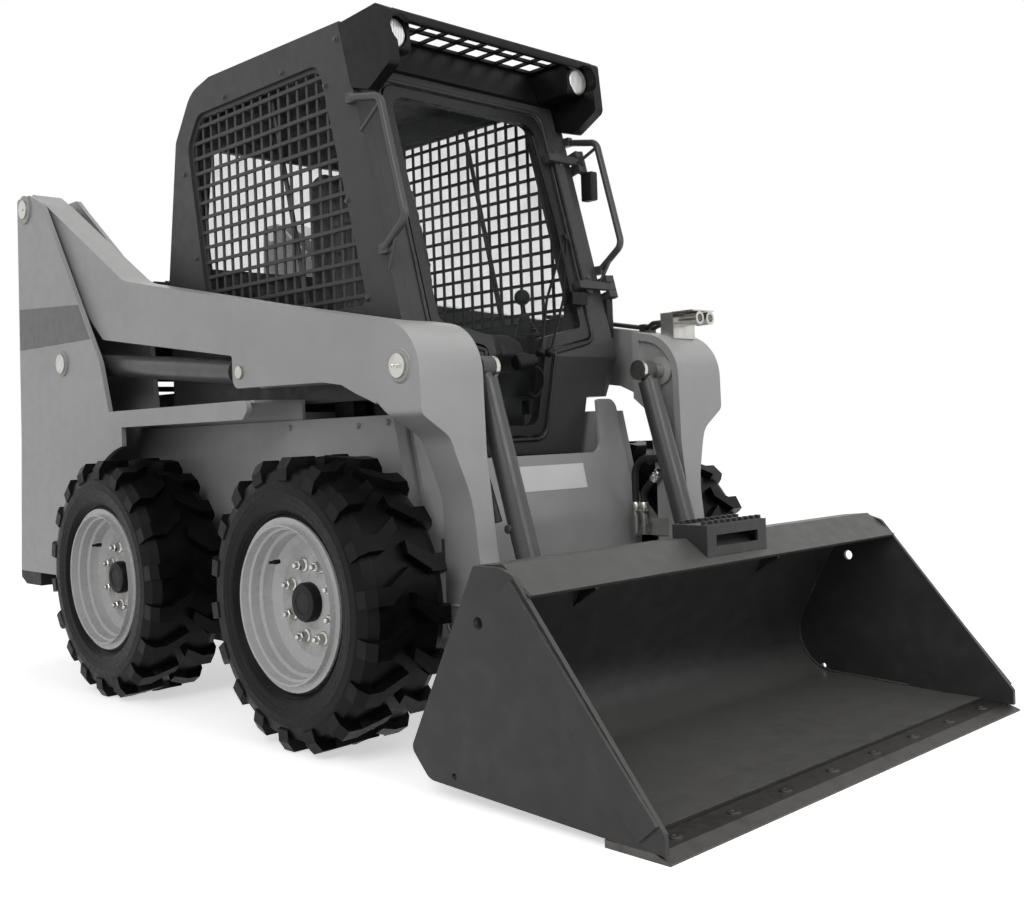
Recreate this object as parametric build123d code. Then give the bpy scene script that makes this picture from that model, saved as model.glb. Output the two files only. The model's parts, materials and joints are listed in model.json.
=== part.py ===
"""Radial-lift skid steer loader with an enclosed cab and a dirt bucket.

Millimetres. +X is forwards, +Y is the machine's left, +Z is up and the ground
is at z = 0. Everything is drawn from the point midway between the axles, and
moved at the end so that the origin lies under the middle of the whole machine.
"""

import math
import os

from build123d import *

os.makedirs("parts", exist_ok=True)

# Clearances
seat_gap = 0.3  # between pieces that sit on each other
pin_gap = 0.3  # round a pin in its bore
run_gap = 6.0  # between panels that move past each other

# Wheels
wheelbase = 1064.0
tyre_diameter = 766.0
tyre_width = 264.0
width_over_tyres = 1550.0
lug_height = 27.0
lug_width = 42.0
lugs_per_side = 18
rim_radius = 226.0
rim_seat_radius = 208.0
rim_lip = 16.0
disc_recess = 100.0
disc_thickness = 14.0
hub_radius = 62.0
axle_radius = 45.0
cap_radius = 47.0

axle_z = tyre_diameter / 2
tyre_outer_y = width_over_tyres / 2
tyre_inner_y = tyre_outer_y - tyre_width
tyre_y = tyre_outer_y - tyre_width / 2
front_axle_x = wheelbase / 2
rear_axle_x = -wheelbase / 2

# Chassis
chain_case_y = 470.0
chain_case_inner_y = 330.0
chain_case_top = 865.0
chain_case_bottom = 165.0
belly_thickness = 12.0
nose_x = front_axle_x + 168.0
nose_half_width = 425.0
nose_thickness = 12.0
shoulder_z = 903.0
foot_notch_half_width = 312.0
foot_notch_z = 737.0
fender_z = 925.0
fender_drop = 55.0
fender_front_x = 215.0

# Uprights that carry the lift arms
upright_outer_y = 638.0
upright_plate = 16.0
upright_inner_y = 440.0
upright_top_z = 1750.0
upright_rear_x = -1486.0
upright_bottom_z = 345.0
arch_radius = 430.0
pivot_x = -1308.0
pivot_z = 1703.0
pivot_pin_radius = 25.0
lift_base_x = -1033.0
lift_base_z = 1110.0

# Lift arms
arm_outer_y = 610.0
arm_beam_width = 105.0
arm_knee_inner_y = 400.0
arm_leg_outer_y = 466.0
arm_front_x = 915.0
lug_x = 108.0
lug_y = 557.5
lug_z = 1009.0
tilt_base_x = 845.0
tilt_base_z = 980.0
hitch_x = 990.0
hitch_z = 200.0
hitch_pin_radius = 22.0
cross_tube_x = 860.0
cross_tube_z = 330.0
cross_tube_radius = 40.0

# Cylinders
lift_barrel_radius = 38.0
lift_rod_radius = 22.0
lift_eye_radius = 36.0
lift_eye_width = 50.0
lift_gland_back = 92.0
tilt_y = 333.0
tilt_barrel_radius = 32.0
tilt_rod_radius = 17.0
tilt_eye_radius = 29.0
tilt_eye_width = 44.0
tilt_gland_back = 118.0
tilt_rod_pin_x = 1030.0
tilt_rod_pin_z = 345.0

# Bucket
bucket_width = 1524.0
bucket_side_plate = 12.0
bucket_sheet = 8.0
bucket_lip_x = 1764.0
bucket_back_top_x = 1254.0
bucket_back_top_z = 525.0
bucket_back_lean = 0.5386
bucket_heel_z = 44.0
bucket_heel_radius = 130.0
cutting_edge_depth = 160.0
cutting_edge_thickness = 16.0
hitch_plate_thickness = 12.0
hitch_plate_half_width = 560.0
ear_plate = 18.0

# Cab
cab_half_width = 425.0
cab_wall = 38.0
cab_rear_x = -631.0
cab_bottom_z = 912.0
roof_z = 2000.0
roof_sheet = 30.0
front_top_x = 404.0
front_lean = 0.27
door_gap = 6.0


def rounded_corner(previous, corner, following, radius):
    """Start, middle and end of the arc that rounds one corner."""
    corner_v = Vector(*corner)
    inwards = (Vector(*previous) - corner_v).normalized()
    outwards = (Vector(*following) - corner_v).normalized()
    half = math.acos(max(-1.0, min(1.0, inwards.dot(outwards)))) / 2
    reach = radius / math.tan(half)
    centre = corner_v + (inwards + outwards).normalized() * (radius / math.sin(half))
    middle = centre + (corner_v - centre).normalized() * radius
    return corner_v + inwards * reach, middle, corner_v + outwards * reach


def outline(points):
    """Flat closed face. A point is (a, b), or (a, b, radius) for a rounded corner."""
    count = len(points)
    flat = [(p[0], p[1]) for p in points]
    stops = []
    for i, point in enumerate(points):
        radius = point[2] if len(point) > 2 else 0
        if radius:
            stops.append(rounded_corner(flat[i - 1], flat[i], flat[(i + 1) % count], radius))
        else:
            corner = Vector(*flat[i])
            stops.append((corner, None, corner))
    edges = []
    for i in range(count):
        start, middle, end = stops[i]
        if middle is not None:
            edges.append(Edge.make_three_point_arc(start, middle, end))
        next_start = stops[(i + 1) % count][0]
        if (next_start - end).length > 1e-6:
            edges.append(Edge.make_line(end, next_start))
    return Face(Wire(edges))


def side_plate(points, y_low, y_high):
    """Plate seen from the side: (x, z) points, from y_low to y_high."""
    plane = Plane(origin=(0, y_high, 0), x_dir=(1, 0, 0), z_dir=(0, -1, 0))
    return extrude(plane * outline(points), amount=y_high - y_low, dir=(0, -1, 0))


def front_plate(points, x_low, x_high):
    """Plate seen from the front: (y, z) points, from x_low to x_high."""
    plane = Plane(origin=(x_low, 0, 0), x_dir=(0, 1, 0), z_dir=(1, 0, 0))
    return extrude(plane * outline(points), amount=x_high - x_low, dir=(1, 0, 0))


def block(x_low, x_high, y_low, y_high, z_low, z_high):
    size = (x_high - x_low, y_high - y_low, z_high - z_low)
    return Pos(x_low, y_low, z_low) * Box(*size, align=(Align.MIN,) * 3)


def cross_pin(x, z, radius, y_low, y_high):
    """Round bar across the machine."""
    return Plane(origin=(x, y_low, z), z_dir=(0, 1, 0)) * Cylinder(
        radius, y_high - y_low, align=(Align.CENTER, Align.CENTER, Align.MIN)
    )


def bar_between(start, end, radius):
    start, end = Vector(*start), Vector(*end)
    return Plane(origin=start, z_dir=end - start) * Cylinder(
        radius, (end - start).length, align=(Align.CENTER, Align.CENTER, Align.MIN)
    )


def bent_tube(points, radius, bend):
    path = FilletPolyline(*points, radius=bend)
    return sweep(Plane(origin=path @ 0, z_dir=path % 0) * Circle(radius), path=path)


def strip(points, thickness):
    """Outline of a bent sheet: the points, then the same line moved to its right."""
    moved = []
    flat = [Vector(p[0], p[1]) for p in points]
    for i, point in enumerate(flat):
        before = (point - flat[i - 1]).normalized() if i else None
        after = (flat[i + 1] - point).normalized() if i + 1 < len(flat) else None
        first = before or after
        last = after or before
        normal_a = Vector(first.Y, -first.X)
        normal_b = Vector(last.Y, -last.X)
        bisector = (normal_a + normal_b).normalized()
        place = point + bisector * (thickness / bisector.dot(normal_a))
        if len(points[i]) > 2:
            turns_left = first.X * last.Y - first.Y * last.X > 0
            radius = points[i][2] + (thickness if turns_left else -thickness)
            moved.append((place.X, place.Y, radius))
        else:
            moved.append((place.X, place.Y))
    return list(points) + moved[::-1]


def inset(points, distance):
    """The same closed outline, drawn clockwise, moved inwards all round."""
    moved = []
    flat = [Vector(p[0], p[1]) for p in points]
    for i, point in enumerate(flat):
        before = (point - flat[i - 1]).normalized()
        after = (flat[(i + 1) % len(flat)] - point).normalized()
        normal_a = Vector(before.Y, -before.X)
        bisector = (normal_a + Vector(after.Y, -after.X)).normalized()
        place = point + bisector * (distance / bisector.dot(normal_a))
        radius = points[i][2] - distance if len(points[i]) > 2 else 0
        moved.append((place.X, place.Y, max(radius, 0)))
    return moved


def both_sides(part):
    """The part and its mirror image, as one set of solids."""
    return Compound(part.solids() + mirror(part, about=Plane.XZ).solids())


nodes = {}

# Wheels: tyre, deep dished rim
def wheel_ring(points, x):
    """Turned part: (radius, y) points about the axle at x."""
    plane = Plane(origin=(x, 0, axle_z), x_dir=(1, 0, 0), z_dir=(0, 0, 1))
    return revolve(plane * outline(points), Axis((x, 0, axle_z), (0, 1, 0)), 360)


tyre_radius = tyre_diameter / 2
tread_radius = tyre_radius - lug_height
disc_outer_y = tyre_outer_y - disc_recess
disc_inner_y = disc_outer_y - disc_thickness
bead_out = tyre_outer_y - 22
bead_in = tyre_inner_y + 22


def lug_prism(points, u_low, u_high):
    """Bar across the tread: (y, z) points about the axle, from u_low to u_high along it."""
    plane = Plane(origin=(u_low, 0, 0), x_dir=(0, 1, 0), z_dir=(1, 0, 0))
    return extrude(plane * outline(points), amount=u_high - u_low, dir=(1, 0, 0))


def tyre_lug():
    """One stepped lug of the outer row, at the top of a wheel whose axle is at 0."""
    flat_top = math.sqrt(tyre_radius**2 - 46**2)
    half = tyre_width / 2
    shoulder = lug_prism(
        [
            (half * 0.48, tread_radius - 12),
            (half * 0.48, flat_top),
            (half - 20, flat_top),
            (half - 3, flat_top - 26),
            (half - 1, tread_radius - 34),
            (half - 12, tread_radius - 40),
        ],
        -2,
        lug_width,
    )
    plan = Plane(origin=(0, 0, tread_radius - 8), x_dir=(1, 0, 0), z_dir=(0, 0, 1))
    tip = lug_width - 4
    bar = outline([(-44, 4), (-10, 4), (tip, half * 0.5), (tip, half * 0.56), (0, half * 0.56)])
    return shoulder + extrude(plan * bar, amount=flat_top - tread_radius + 8, dir=(0, 0, 1))


tyre_body = wheel_ring(
    [
        (rim_seat_radius + seat_gap, bead_in + 5),
        (rim_radius + 5, bead_in + 5),
        (rim_radius + 26, tyre_inner_y + 8),
        (rim_radius + 62, tyre_inner_y + 2),
        (tread_radius - 44, tyre_inner_y + 3),
        (tread_radius - 12, tyre_inner_y + 14),
        (tread_radius, tyre_inner_y + 40),
        (tread_radius, tyre_outer_y - 40),
        (tread_radius - 12, tyre_outer_y - 14),
        (tread_radius - 44, tyre_outer_y - 3),
        (rim_radius + 62, tyre_outer_y - 2),
        (rim_radius + 26, tyre_outer_y - 8),
        (rim_radius + 5, bead_out - 5),
        (rim_seat_radius + seat_gap, bead_out - 5),
    ],
    0,
)
lug = Pos(0, tyre_y, axle_z) * tyre_lug()
inner_lug = mirror(lug, about=Plane.XZ.offset(-tyre_y))
lugs = []
wheel_axis = Axis((0, 0, axle_z), (0, 1, 0))
for i in range(lugs_per_side):
    turn = 360 / lugs_per_side * i
    lugs.append(lug.rotate(wheel_axis, turn))
    lugs.append(inner_lug.rotate(wheel_axis, turn + 180 / lugs_per_side))
tyre_shape = tyre_body.fuse(*lugs)
for end_name, axle_x in (("front", front_axle_x), ("rear", rear_axle_x)):
    tyre = Pos(axle_x, 0, 0) * tyre_shape
    rim = wheel_ring(
        [
            (rim_seat_radius - 8, bead_in - 3),
            (rim_radius, bead_in - 3),
            (rim_radius, bead_in + 4),
            (rim_seat_radius, bead_in + 4),
            (rim_seat_radius, bead_out - 4),
            (rim_radius, bead_out - 4),
            (rim_radius, bead_out + 3),
            (rim_seat_radius - 2, bead_out + 3),
            (rim_seat_radius - 12, bead_out - 14),
            (rim_seat_radius - 20, bead_out - 60),
            (rim_seat_radius - 62, disc_outer_y),
            (hub_radius + 12, disc_outer_y),
            (hub_radius - 12, disc_outer_y + 10),
            (cap_radius, disc_outer_y + 12),
            (cap_radius - 8, disc_outer_y + 34),
            (0, disc_outer_y + 36),
            (0, disc_inner_y),
            (rim_seat_radius - 68, disc_inner_y),
            (rim_seat_radius - 30, bead_out - 66),
            (rim_seat_radius - 12, bead_in + 30),
        ],
        axle_x,
    )
    nodes[f"tyre_{end_name}_left"] = tyre
    nodes[f"tyre_{end_name}_right"] = mirror(tyre, about=Plane.XZ)
    nodes[f"rim_{end_name}_left"] = rim
    nodes[f"rim_{end_name}_right"] = mirror(rim, about=Plane.XZ)

# Stub axles that carry the wheels
stubs = []
for axle_x in (front_axle_x, rear_axle_x):
    stub = cross_pin(axle_x, axle_z, axle_radius, chain_case_y + seat_gap, disc_inner_y - seat_gap)
    stub += cross_pin(axle_x, axle_z, hub_radius + 22, disc_inner_y - seat_gap - 16, disc_inner_y - seat_gap)
    stub += cross_pin(axle_x, axle_z, hub_radius + 16, chain_case_y + seat_gap, chain_case_y + 24)
    stubs += [stub, mirror(stub, about=Plane.XZ)]
nodes["wheel_hubs"] = Compound([s for stub in stubs for s in stub.solids()])

# Main frame: two chain cases joined by the belly, fire wall and rear pan
case_rear_x = -800.0
nose_line = [(nose_x - 60, shoulder_z), (nose_x + 15, 560, 200), (nose_x, 250)]
chain_case = side_plate(
    [
        (case_rear_x, chain_case_bottom),
        (nose_x - nose_thickness - seat_gap, chain_case_bottom, 60),
        (nose_x - nose_thickness - seat_gap, 300),
        (nose_x + 14 - nose_thickness, 560, 200),
        (nose_x - 54 - nose_thickness, chain_case_top),
        (case_rear_x, chain_case_top),
    ],
    chain_case_inner_y,
    chain_case_y,
)
pan_z = upright_bottom_z - 40
pan_rear_x = upright_rear_x + 100
main_frame = chain_case + mirror(chain_case, about=Plane.XZ)
main_frame += side_plate(
    strip(
        [
            (pan_rear_x, pan_z),
            (case_rear_x - 180, pan_z),
            (case_rear_x, chain_case_bottom),
            (nose_x - 80, chain_case_bottom),
        ],
        -belly_thickness,
    ),
    -chain_case_inner_y - 5,
    chain_case_inner_y + 5,
)
for side in (1, -1):
    y_low, y_high = sorted((side * (chain_case_inner_y + 4), side * (upright_inner_y - seat_gap)))
    main_frame += block(pan_rear_x, case_rear_x + 1, y_low, y_high, pan_z, pan_z + belly_thickness)
fire_wall_x = case_rear_x + 40
main_frame += block(
    fire_wall_x,
    fire_wall_x + 10,
    -chain_case_inner_y,
    chain_case_inner_y,
    chain_case_bottom + 5,
    chain_case_top,
)
main_frame = main_frame.solid()
nodes["main_frame"] = main_frame

# Nose plate with its shoulders beside the foot of the cab
nose_plate = side_plate(strip(nose_line, nose_thickness), -nose_half_width, nose_half_width)
nose_plate &= front_plate(
    [
        (-nose_half_width, 260, 20),
        (nose_half_width, 260, 20),
        (nose_half_width, shoulder_z, 30),
        (foot_notch_half_width + 30, shoulder_z, 10),
        (foot_notch_half_width, foot_notch_z, 40),
        (-foot_notch_half_width, foot_notch_z, 40),
        (-foot_notch_half_width - 30, shoulder_z, 10),
        (-nose_half_width, shoulder_z, 30),
    ],
    nose_x - 200,
    nose_x + 200,
)
nodes["nose_plate"] = nose_plate.solid()


# Uprights
upright_front_x = -688.0
upright_rear_edge = [(upright_rear_x, upright_bottom_z), (-1433.0, 846.0), (-1378.0, upright_top_z)]
arch_cut = cross_pin(rear_axle_x, axle_z, arch_radius, 0, upright_outer_y + 10)
outer_plate = side_plate(
    [
        *upright_rear_edge[:2],
        (*upright_rear_edge[2], 14),
        (-1266, upright_top_z, 20),
        (-1158, 1705, 60),
        (-741, 1097, 120),
        (upright_front_x, fender_z),
        (fender_front_x, fender_z, 22),
        (fender_front_x - 60, fender_z - fender_drop, 20),
        (-600, fender_z - fender_drop),
        (-600, upright_bottom_z),
    ],
    upright_outer_y - upright_plate,
    upright_outer_y,
)
inner_plate = side_plate(
    [
        *upright_rear_edge[:2],
        (*upright_rear_edge[2], 14),
        (-1266, upright_top_z, 20),
        (-1190, 1690, 60),
        (-843, 1432, 60),
        (-735, 1250, 60),
        (-700, chain_case_top + seat_gap),
        (case_rear_x - seat_gap, chain_case_top + seat_gap),
        (case_rear_x - seat_gap, pan_z),
        (-1305, pan_z),
        (-1305, upright_bottom_z),
    ],
    upright_inner_y,
    upright_inner_y + upright_plate,
)
rear_strap = side_plate(
    strip([(-1387, 1600), upright_rear_edge[1], (upright_rear_x + 0.3, upright_bottom_z + 3)], -10),
    upright_inner_y + upright_plate,
    upright_outer_y - upright_plate,
)
arch_liner = cross_pin(
    rear_axle_x, axle_z, arch_radius + 6, upright_inner_y + upright_plate, upright_outer_y - upright_plate
)
arch_liner &= block(-1100, case_rear_x - seat_gap, 0, 800, upright_bottom_z, 790)
fender_top = block(
    -760, fender_front_x - 20, chain_case_y - 20, upright_outer_y - upright_plate, fender_z - 8, fender_z
)
fender_web = block(
    -690, fender_front_x - 20, chain_case_y - 20, chain_case_y - 10, chain_case_top + seat_gap, fender_z - 8
)
upright = outer_plate + inner_plate + rear_strap + fender_top + fender_web + arch_liner
upright += cross_pin(pivot_x, pivot_z, 52, upright_outer_y - 1, upright_outer_y + 6)
upright += cross_pin(lift_base_x, lift_base_z, 44, upright_outer_y - 1, upright_outer_y + 6)
upright -= arch_cut
for x, z, radius in ((pivot_x, pivot_z, pivot_pin_radius), (lift_base_x, lift_base_z, pivot_pin_radius)):
    upright -= cross_pin(x, z, radius + pin_gap, upright_inner_y - 20, upright_outer_y + 20)
upright = upright.solid()
nodes["upright_left"] = upright
nodes["upright_right"] = mirror(upright, about=Plane.XZ)

# Pins of the arms and lift cylinders
frame_pins = []
for x, z in ((pivot_x, pivot_z), (lift_base_x, lift_base_z)):
    pin = cross_pin(x, z, pivot_pin_radius, upright_inner_y - 6, upright_outer_y + 12)
    pin += cross_pin(x, z, pivot_pin_radius + 9, upright_outer_y + 6 + seat_gap, upright_outer_y + 12)
    frame_pins += [pin, mirror(pin, about=Plane.XZ)]
nodes["frame_pins"] = Compound([s for pin in frame_pins for s in pin.solids()])

# Rear: bumper, door, hood and engine
bumper_line = [
    (upright_rear_x, upright_bottom_z - seat_gap),
    (pan_rear_x - seat_gap, upright_bottom_z - seat_gap),
    (pan_rear_x - seat_gap, 296),
    (-1440, 296),
    (upright_rear_x, 320),
]
bumper = side_plate(bumper_line, -upright_outer_y, upright_outer_y)
for side in (1, -1):
    y_low, y_high = sorted((side * upright_inner_y, side * upright_outer_y))
    bumper += block(pan_rear_x - 1, -1306, y_low, y_high, 296, upright_bottom_z - seat_gap)
nodes["rear_bumper"] = bumper.solid()

door_x = -1440.0
rear_half = upright_inner_y - run_gap
rear_hinge_x = door_x - 10
rear_hinge_y = upright_inner_y - 12
rear_door = block(door_x, door_x + 40, -rear_half, rear_half, upright_bottom_z + 20, 1270)
rear_door -= block(door_x + 6, door_x + 41, -390, 390, upright_bottom_z + 60, 1230)
for i in range(9):
    z = 800 + i * 42
    rear_door -= block(door_x - 1, door_x + 10, -330, 330, z, z + 20)


def upright_bar(x, y, radius, z_low, z_high):
    return Pos(x, y, z_low) * Cylinder(radius, z_high - z_low, align=(Align.CENTER, Align.CENTER, Align.MIN))


rear_hinges = []
for z in (540, 1090):
    rear_door += upright_bar(rear_hinge_x, rear_hinge_y, 9, z + 22, z + 50)
    rear_door += block(rear_hinge_x - 5, door_x + 1, rear_hinge_y - 60, rear_hinge_y, z + 22, z + 50)
    rear_door -= upright_bar(rear_hinge_x, rear_hinge_y, 5 + pin_gap, z + 20, z + 55)
    bracket = upright_bar(rear_hinge_x, rear_hinge_y, 9, z, z + 20)
    bracket += upright_bar(rear_hinge_x, rear_hinge_y, 5, z + 10, z + 58)
    if z < 800:
        bracket += block(
            rear_hinge_x - 9, rear_hinge_x + 6, rear_hinge_y, upright_inner_y - seat_gap, z, z + 20
        )
    else:
        bracket += block(rear_hinge_x - 9, -1418.7, rear_hinge_y, upright_inner_y + 50, z, z + 20)
        bracket -= block(door_x - 2, -1400, rear_hinge_y - 5, upright_inner_y - seat_gap, z - 1, z + 21)
    rear_hinges.append(bracket.solid())
nodes["rear_door"] = rear_door.solid()
nodes["rear_door_hinges"] = Compound(rear_hinges)

hood_hinge_x = -704.0
hood_hinge_z = 1372.0
hood = side_plate(strip([(-1400, 1285), (-1400, 1330, 20), (-722, 1366)], -16), -rear_half, rear_half)
hood_hinges = []
for side in (1, -1):
    y_low, y_high = sorted((side * 340, side * 400))
    hood += cross_pin(hood_hinge_x, hood_hinge_z, 12, y_low, y_high)
    hood += block(-740, hood_hinge_x, y_low, y_high, hood_hinge_z - 5, hood_hinge_z + 9)
    hood -= cross_pin(hood_hinge_x, hood_hinge_z, 6 + pin_gap, y_low - 1, y_high + 1)
    y_low, y_high = sorted((side * 300, side * 338))
    bracket = cross_pin(hood_hinge_x, hood_hinge_z, 12, y_low, y_high)
    bracket += block(hood_hinge_x, -631 - seat_gap, y_low, y_high, hood_hinge_z - 12, hood_hinge_z + 2)
    y_low, y_high = sorted((side * 310, side * 404))
    bracket += cross_pin(hood_hinge_x, hood_hinge_z, 6, y_low, y_high)
    hood_hinges.append(bracket.solid())
nodes["hood"] = hood.solid()
nodes["hood_hinges"] = Compound(hood_hinges)

pan_top = pan_z + belly_thickness
engine = block(-1340, -850, -250, 250, pan_top + 60, 1000)
for x in (-1320, -1040):
    for y in (-230, 180):
        engine += block(x, x + 50, y, y + 50, pan_top + seat_gap, pan_top + 60)
nodes["engine_block"] = engine.solid()


# Lift arms
knee_profile = [
    (740, 1106),
    (arm_front_x, 1075, 140),
    (arm_front_x + 6, 760, 300),
    (952, 488, 300),
    (hitch_x + 46, hitch_z + 30, 30),
    (hitch_x + 40, hitch_z - 48, 40),
    (hitch_x - 45, hitch_z - 46, 40),
    (cross_tube_x, cross_tube_z - 60, 30),
    (cross_tube_x - 40, cross_tube_z - 30, 20),
    (cross_tube_x - 40, cross_tube_z + 60, 60),
    (822, 640, 200),
    (800, 853, 60),
    (740, 900),
]


arm_beam_inner_y = arm_outer_y - arm_beam_width
beam = side_plate(
    [
        (-1300, pivot_z + 62, 20),
        (-1190, pivot_z + 2, 40),
        (-601, 1357, 200),
        (227, 1198),
        (745, 1105),
        (745, 890),
        (655, 922, 40),
        (598, 946),
        (513, 957),
        (lug_x + 16, lug_z - 46, 34),
        (lug_x - 44, lug_z - 46, 30),
        (lug_x - 44, 1060, 10),
        (-767, 1175, 30),
        (-1345, pivot_z - 52, 30),
        (-1366, pivot_z, 40),
    ],
    arm_beam_inner_y,
    arm_outer_y,
)
leg = side_plate(knee_profile, arm_knee_inner_y, arm_outer_y)
leg &= front_plate(
    [
        (arm_knee_inner_y, 100),
        (arm_leg_outer_y, 100),
        (arm_leg_outer_y, 640, 300),
        (520, 800, 60),
        (arm_outer_y, 860, 25),
        (arm_outer_y, 1120),
        (arm_knee_inner_y, 1120),
    ],
    700,
    1100,
)
arm = beam + leg
arm -= block(lug_x - 60, lug_x + 70, lug_y - 27, lug_y + 27, lug_z - 60, lug_z + 46)
knee_recess = side_plate(inset(knee_profile, 24), arm_knee_inner_y - 1, arm_knee_inner_y + 12)
arm -= knee_recess & block(700, 1100, 300, 500, 660, 1200)
arm += cross_pin(tilt_base_x, tilt_base_z, 44, arm_knee_inner_y, arm_knee_inner_y + 14)
arm += cross_pin(tilt_base_x, tilt_base_z, 40, arm_outer_y - 1, arm_outer_y + 5)
arm -= cross_pin(tilt_base_x, tilt_base_z, 21 + pin_gap, arm_knee_inner_y - 1, arm_outer_y + 10)
arm -= cross_pin(pivot_x, pivot_z, pivot_pin_radius + pin_gap, 400, 700)
arm -= cross_pin(hitch_x, hitch_z, hitch_pin_radius + pin_gap, 390, 480)
arm -= cross_pin(cross_tube_x, cross_tube_z, cross_tube_radius + seat_gap, 390, arm_leg_outer_y - 8)
arm -= cross_pin(lug_x, lug_z, 18 + pin_gap, 500, 615)
arm = arm.solid()
nodes["lift_arm_left"] = arm
nodes["lift_arm_right"] = mirror(arm, about=Plane.XZ)

cross_end = arm_leg_outer_y - 8 - seat_gap
cross_tube = cross_pin(cross_tube_x, cross_tube_z, cross_tube_radius, -cross_end, cross_end)
cross_tube -= cross_pin(cross_tube_x, cross_tube_z, cross_tube_radius - 9, -cross_end - 1, cross_end + 1)
nodes["arm_cross_tube"] = cross_tube

arm_pins = []
tilt_pin = cross_pin(tilt_base_x, tilt_base_z, 21, tilt_y - 30, arm_outer_y + 10)
tilt_pin += cross_pin(tilt_base_x, tilt_base_z, 30, arm_outer_y + 5 + seat_gap, arm_outer_y + 12)
tilt_pin += cross_pin(tilt_base_x, tilt_base_z, 30, tilt_y - 36, tilt_y - tilt_eye_width / 2 - 1)
for y_low, y_high in ((arm_beam_inner_y - 8, lug_y - 27 - 2), (lug_y + 27 + 2, arm_outer_y + 8)):
    lug_pin = cross_pin(lug_x, lug_z, 18, y_low, y_high)
    arm_pins += [lug_pin, mirror(lug_pin, about=Plane.XZ)]
arm_pins += [tilt_pin, mirror(tilt_pin, about=Plane.XZ)]
nodes["arm_pins"] = Compound([s for pin in arm_pins for s in pin.solids()])


# Hoses of the bucket cylinders, with the fittings they end in
hose_y = arm_knee_inner_y - 15
hose_radius = 11.0
fitting_radius = 10.0
outer_hose = [(748, hose_y, 540), (748, hose_y, 712), (890, hose_y, 712), (938, hose_y, 580)]
inner_hose = [(780, hose_y, 540), (780, hose_y, 610), (846, hose_y, 672)]
hoses = []
fittings = []
for route, bend in ((outer_hose, 52), (inner_hose, 40)):
    hose = bent_tube(route, hose_radius, bend)
    hoses += [hose, mirror(hose, about=Plane.XZ)]
for x in (748, 780):
    fitting = bar_between((x, hose_y, 478), (x, hose_y, 540 - seat_gap), fitting_radius)
    fitting += bar_between((x, hose_y, 500), (x, hose_y, 514), fitting_radius + 3)
    fitting += bar_between((x, hose_y, 530), (x, hose_y, 540 - seat_gap), fitting_radius + 3)
    fitting += block(x - 9, x + 9, hose_y, arm_knee_inner_y - 6, 482, 500)
    fittings.append(fitting)
carrier = block(730, 862, arm_knee_inner_y - 6, arm_knee_inner_y - seat_gap, 476, 530)
fittings_piece = (fittings[0] + fittings[1] + carrier).solid()
nodes["arm_hoses"] = Compound([s for hose in hoses for s in hose.solids()])
nodes["hose_fittings"] = both_sides(fittings_piece)

# Auxiliary couplings and their pipes along the top of the left arm
line_y = (525.0, 555.0)
coupler_y = (500.0, 552.0)
coupler_z = 1137.0
beam_slope = (1105 - 1198) / (745 - 227)


def beam_top(x):
    """Height of the arm's top at x, on its straight front half."""
    return 1198 + (x - 227) * beam_slope


lines = Part()
for y, end_y in zip(line_y, coupler_y):
    rise = 12
    route = [
        (240, y, beam_top(240) + rise),
        (700, y, beam_top(700) + rise),
        (745, end_y, coupler_z),
        (800, end_y, coupler_z),
    ]
    lines += bent_tube(route, 7, 20)
for x in (300, 500, 680):
    lines += block(x, x + 22, line_y[0] - 14, line_y[1] + 14, beam_top(x) - 8, beam_top(x) + 22) - arm
nodes["arm_lines"] = lines.solid()
couplers = block(800 + seat_gap, 850, coupler_y[0] - 30, coupler_y[1] + 26, 1080, coupler_z + 24)
for y in coupler_y:
    couplers += bar_between((840, y, coupler_z), (905, y, coupler_z), 17)
    couplers += bar_between((880, y, coupler_z), (930, y, coupler_z), 20)
    couplers -= bar_between((912, y, coupler_z), (931, y, coupler_z), 12)
couplers += block(846, 925, coupler_y[0] - 30, coupler_y[1] + 26, coupler_z + 21, coupler_z + 25)
couplers -= arm
nodes["arm_couplers"] = couplers.solid()


# Cylinders
def cylinder_pair(base, end, y, barrel_radius, rod_radius, eye_radius, eye_width, gland_back, pin_radius):
    """Barrel and rod lying between two pins, with the rod nearly home."""
    base_v, end_v = Vector(base[0], y, base[1]), Vector(end[0], y, end[1])
    along = (end_v - base_v).normalized()
    length = (end_v - base_v).length
    gland = base_v + along * (length - gland_back)
    barrel = bar_between(tuple(base_v + along * (eye_radius + 8)), tuple(gland), barrel_radius)
    barrel += bar_between(tuple(base_v), tuple(base_v + along * (eye_radius + 12)), eye_radius * 0.7)
    barrel += cross_pin(base[0], base[1], eye_radius, y - eye_width / 2, y + eye_width / 2)
    bore_end = gland - along * (length - gland_back - eye_radius - 70)
    barrel -= bar_between(tuple(gland + along * 5), tuple(bore_end), rod_radius + 0.4)
    barrel -= cross_pin(base[0], base[1], pin_radius + pin_gap, y - eye_width, y + eye_width)
    rod_start = base_v + along * (eye_radius + 160)
    rod = bar_between(tuple(rod_start), tuple(end_v - along * (eye_radius - 6)), rod_radius)
    rod += cross_pin(end[0], end[1], eye_radius, y - eye_width / 2, y + eye_width / 2)
    return barrel.solid(), rod.solid()


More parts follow.
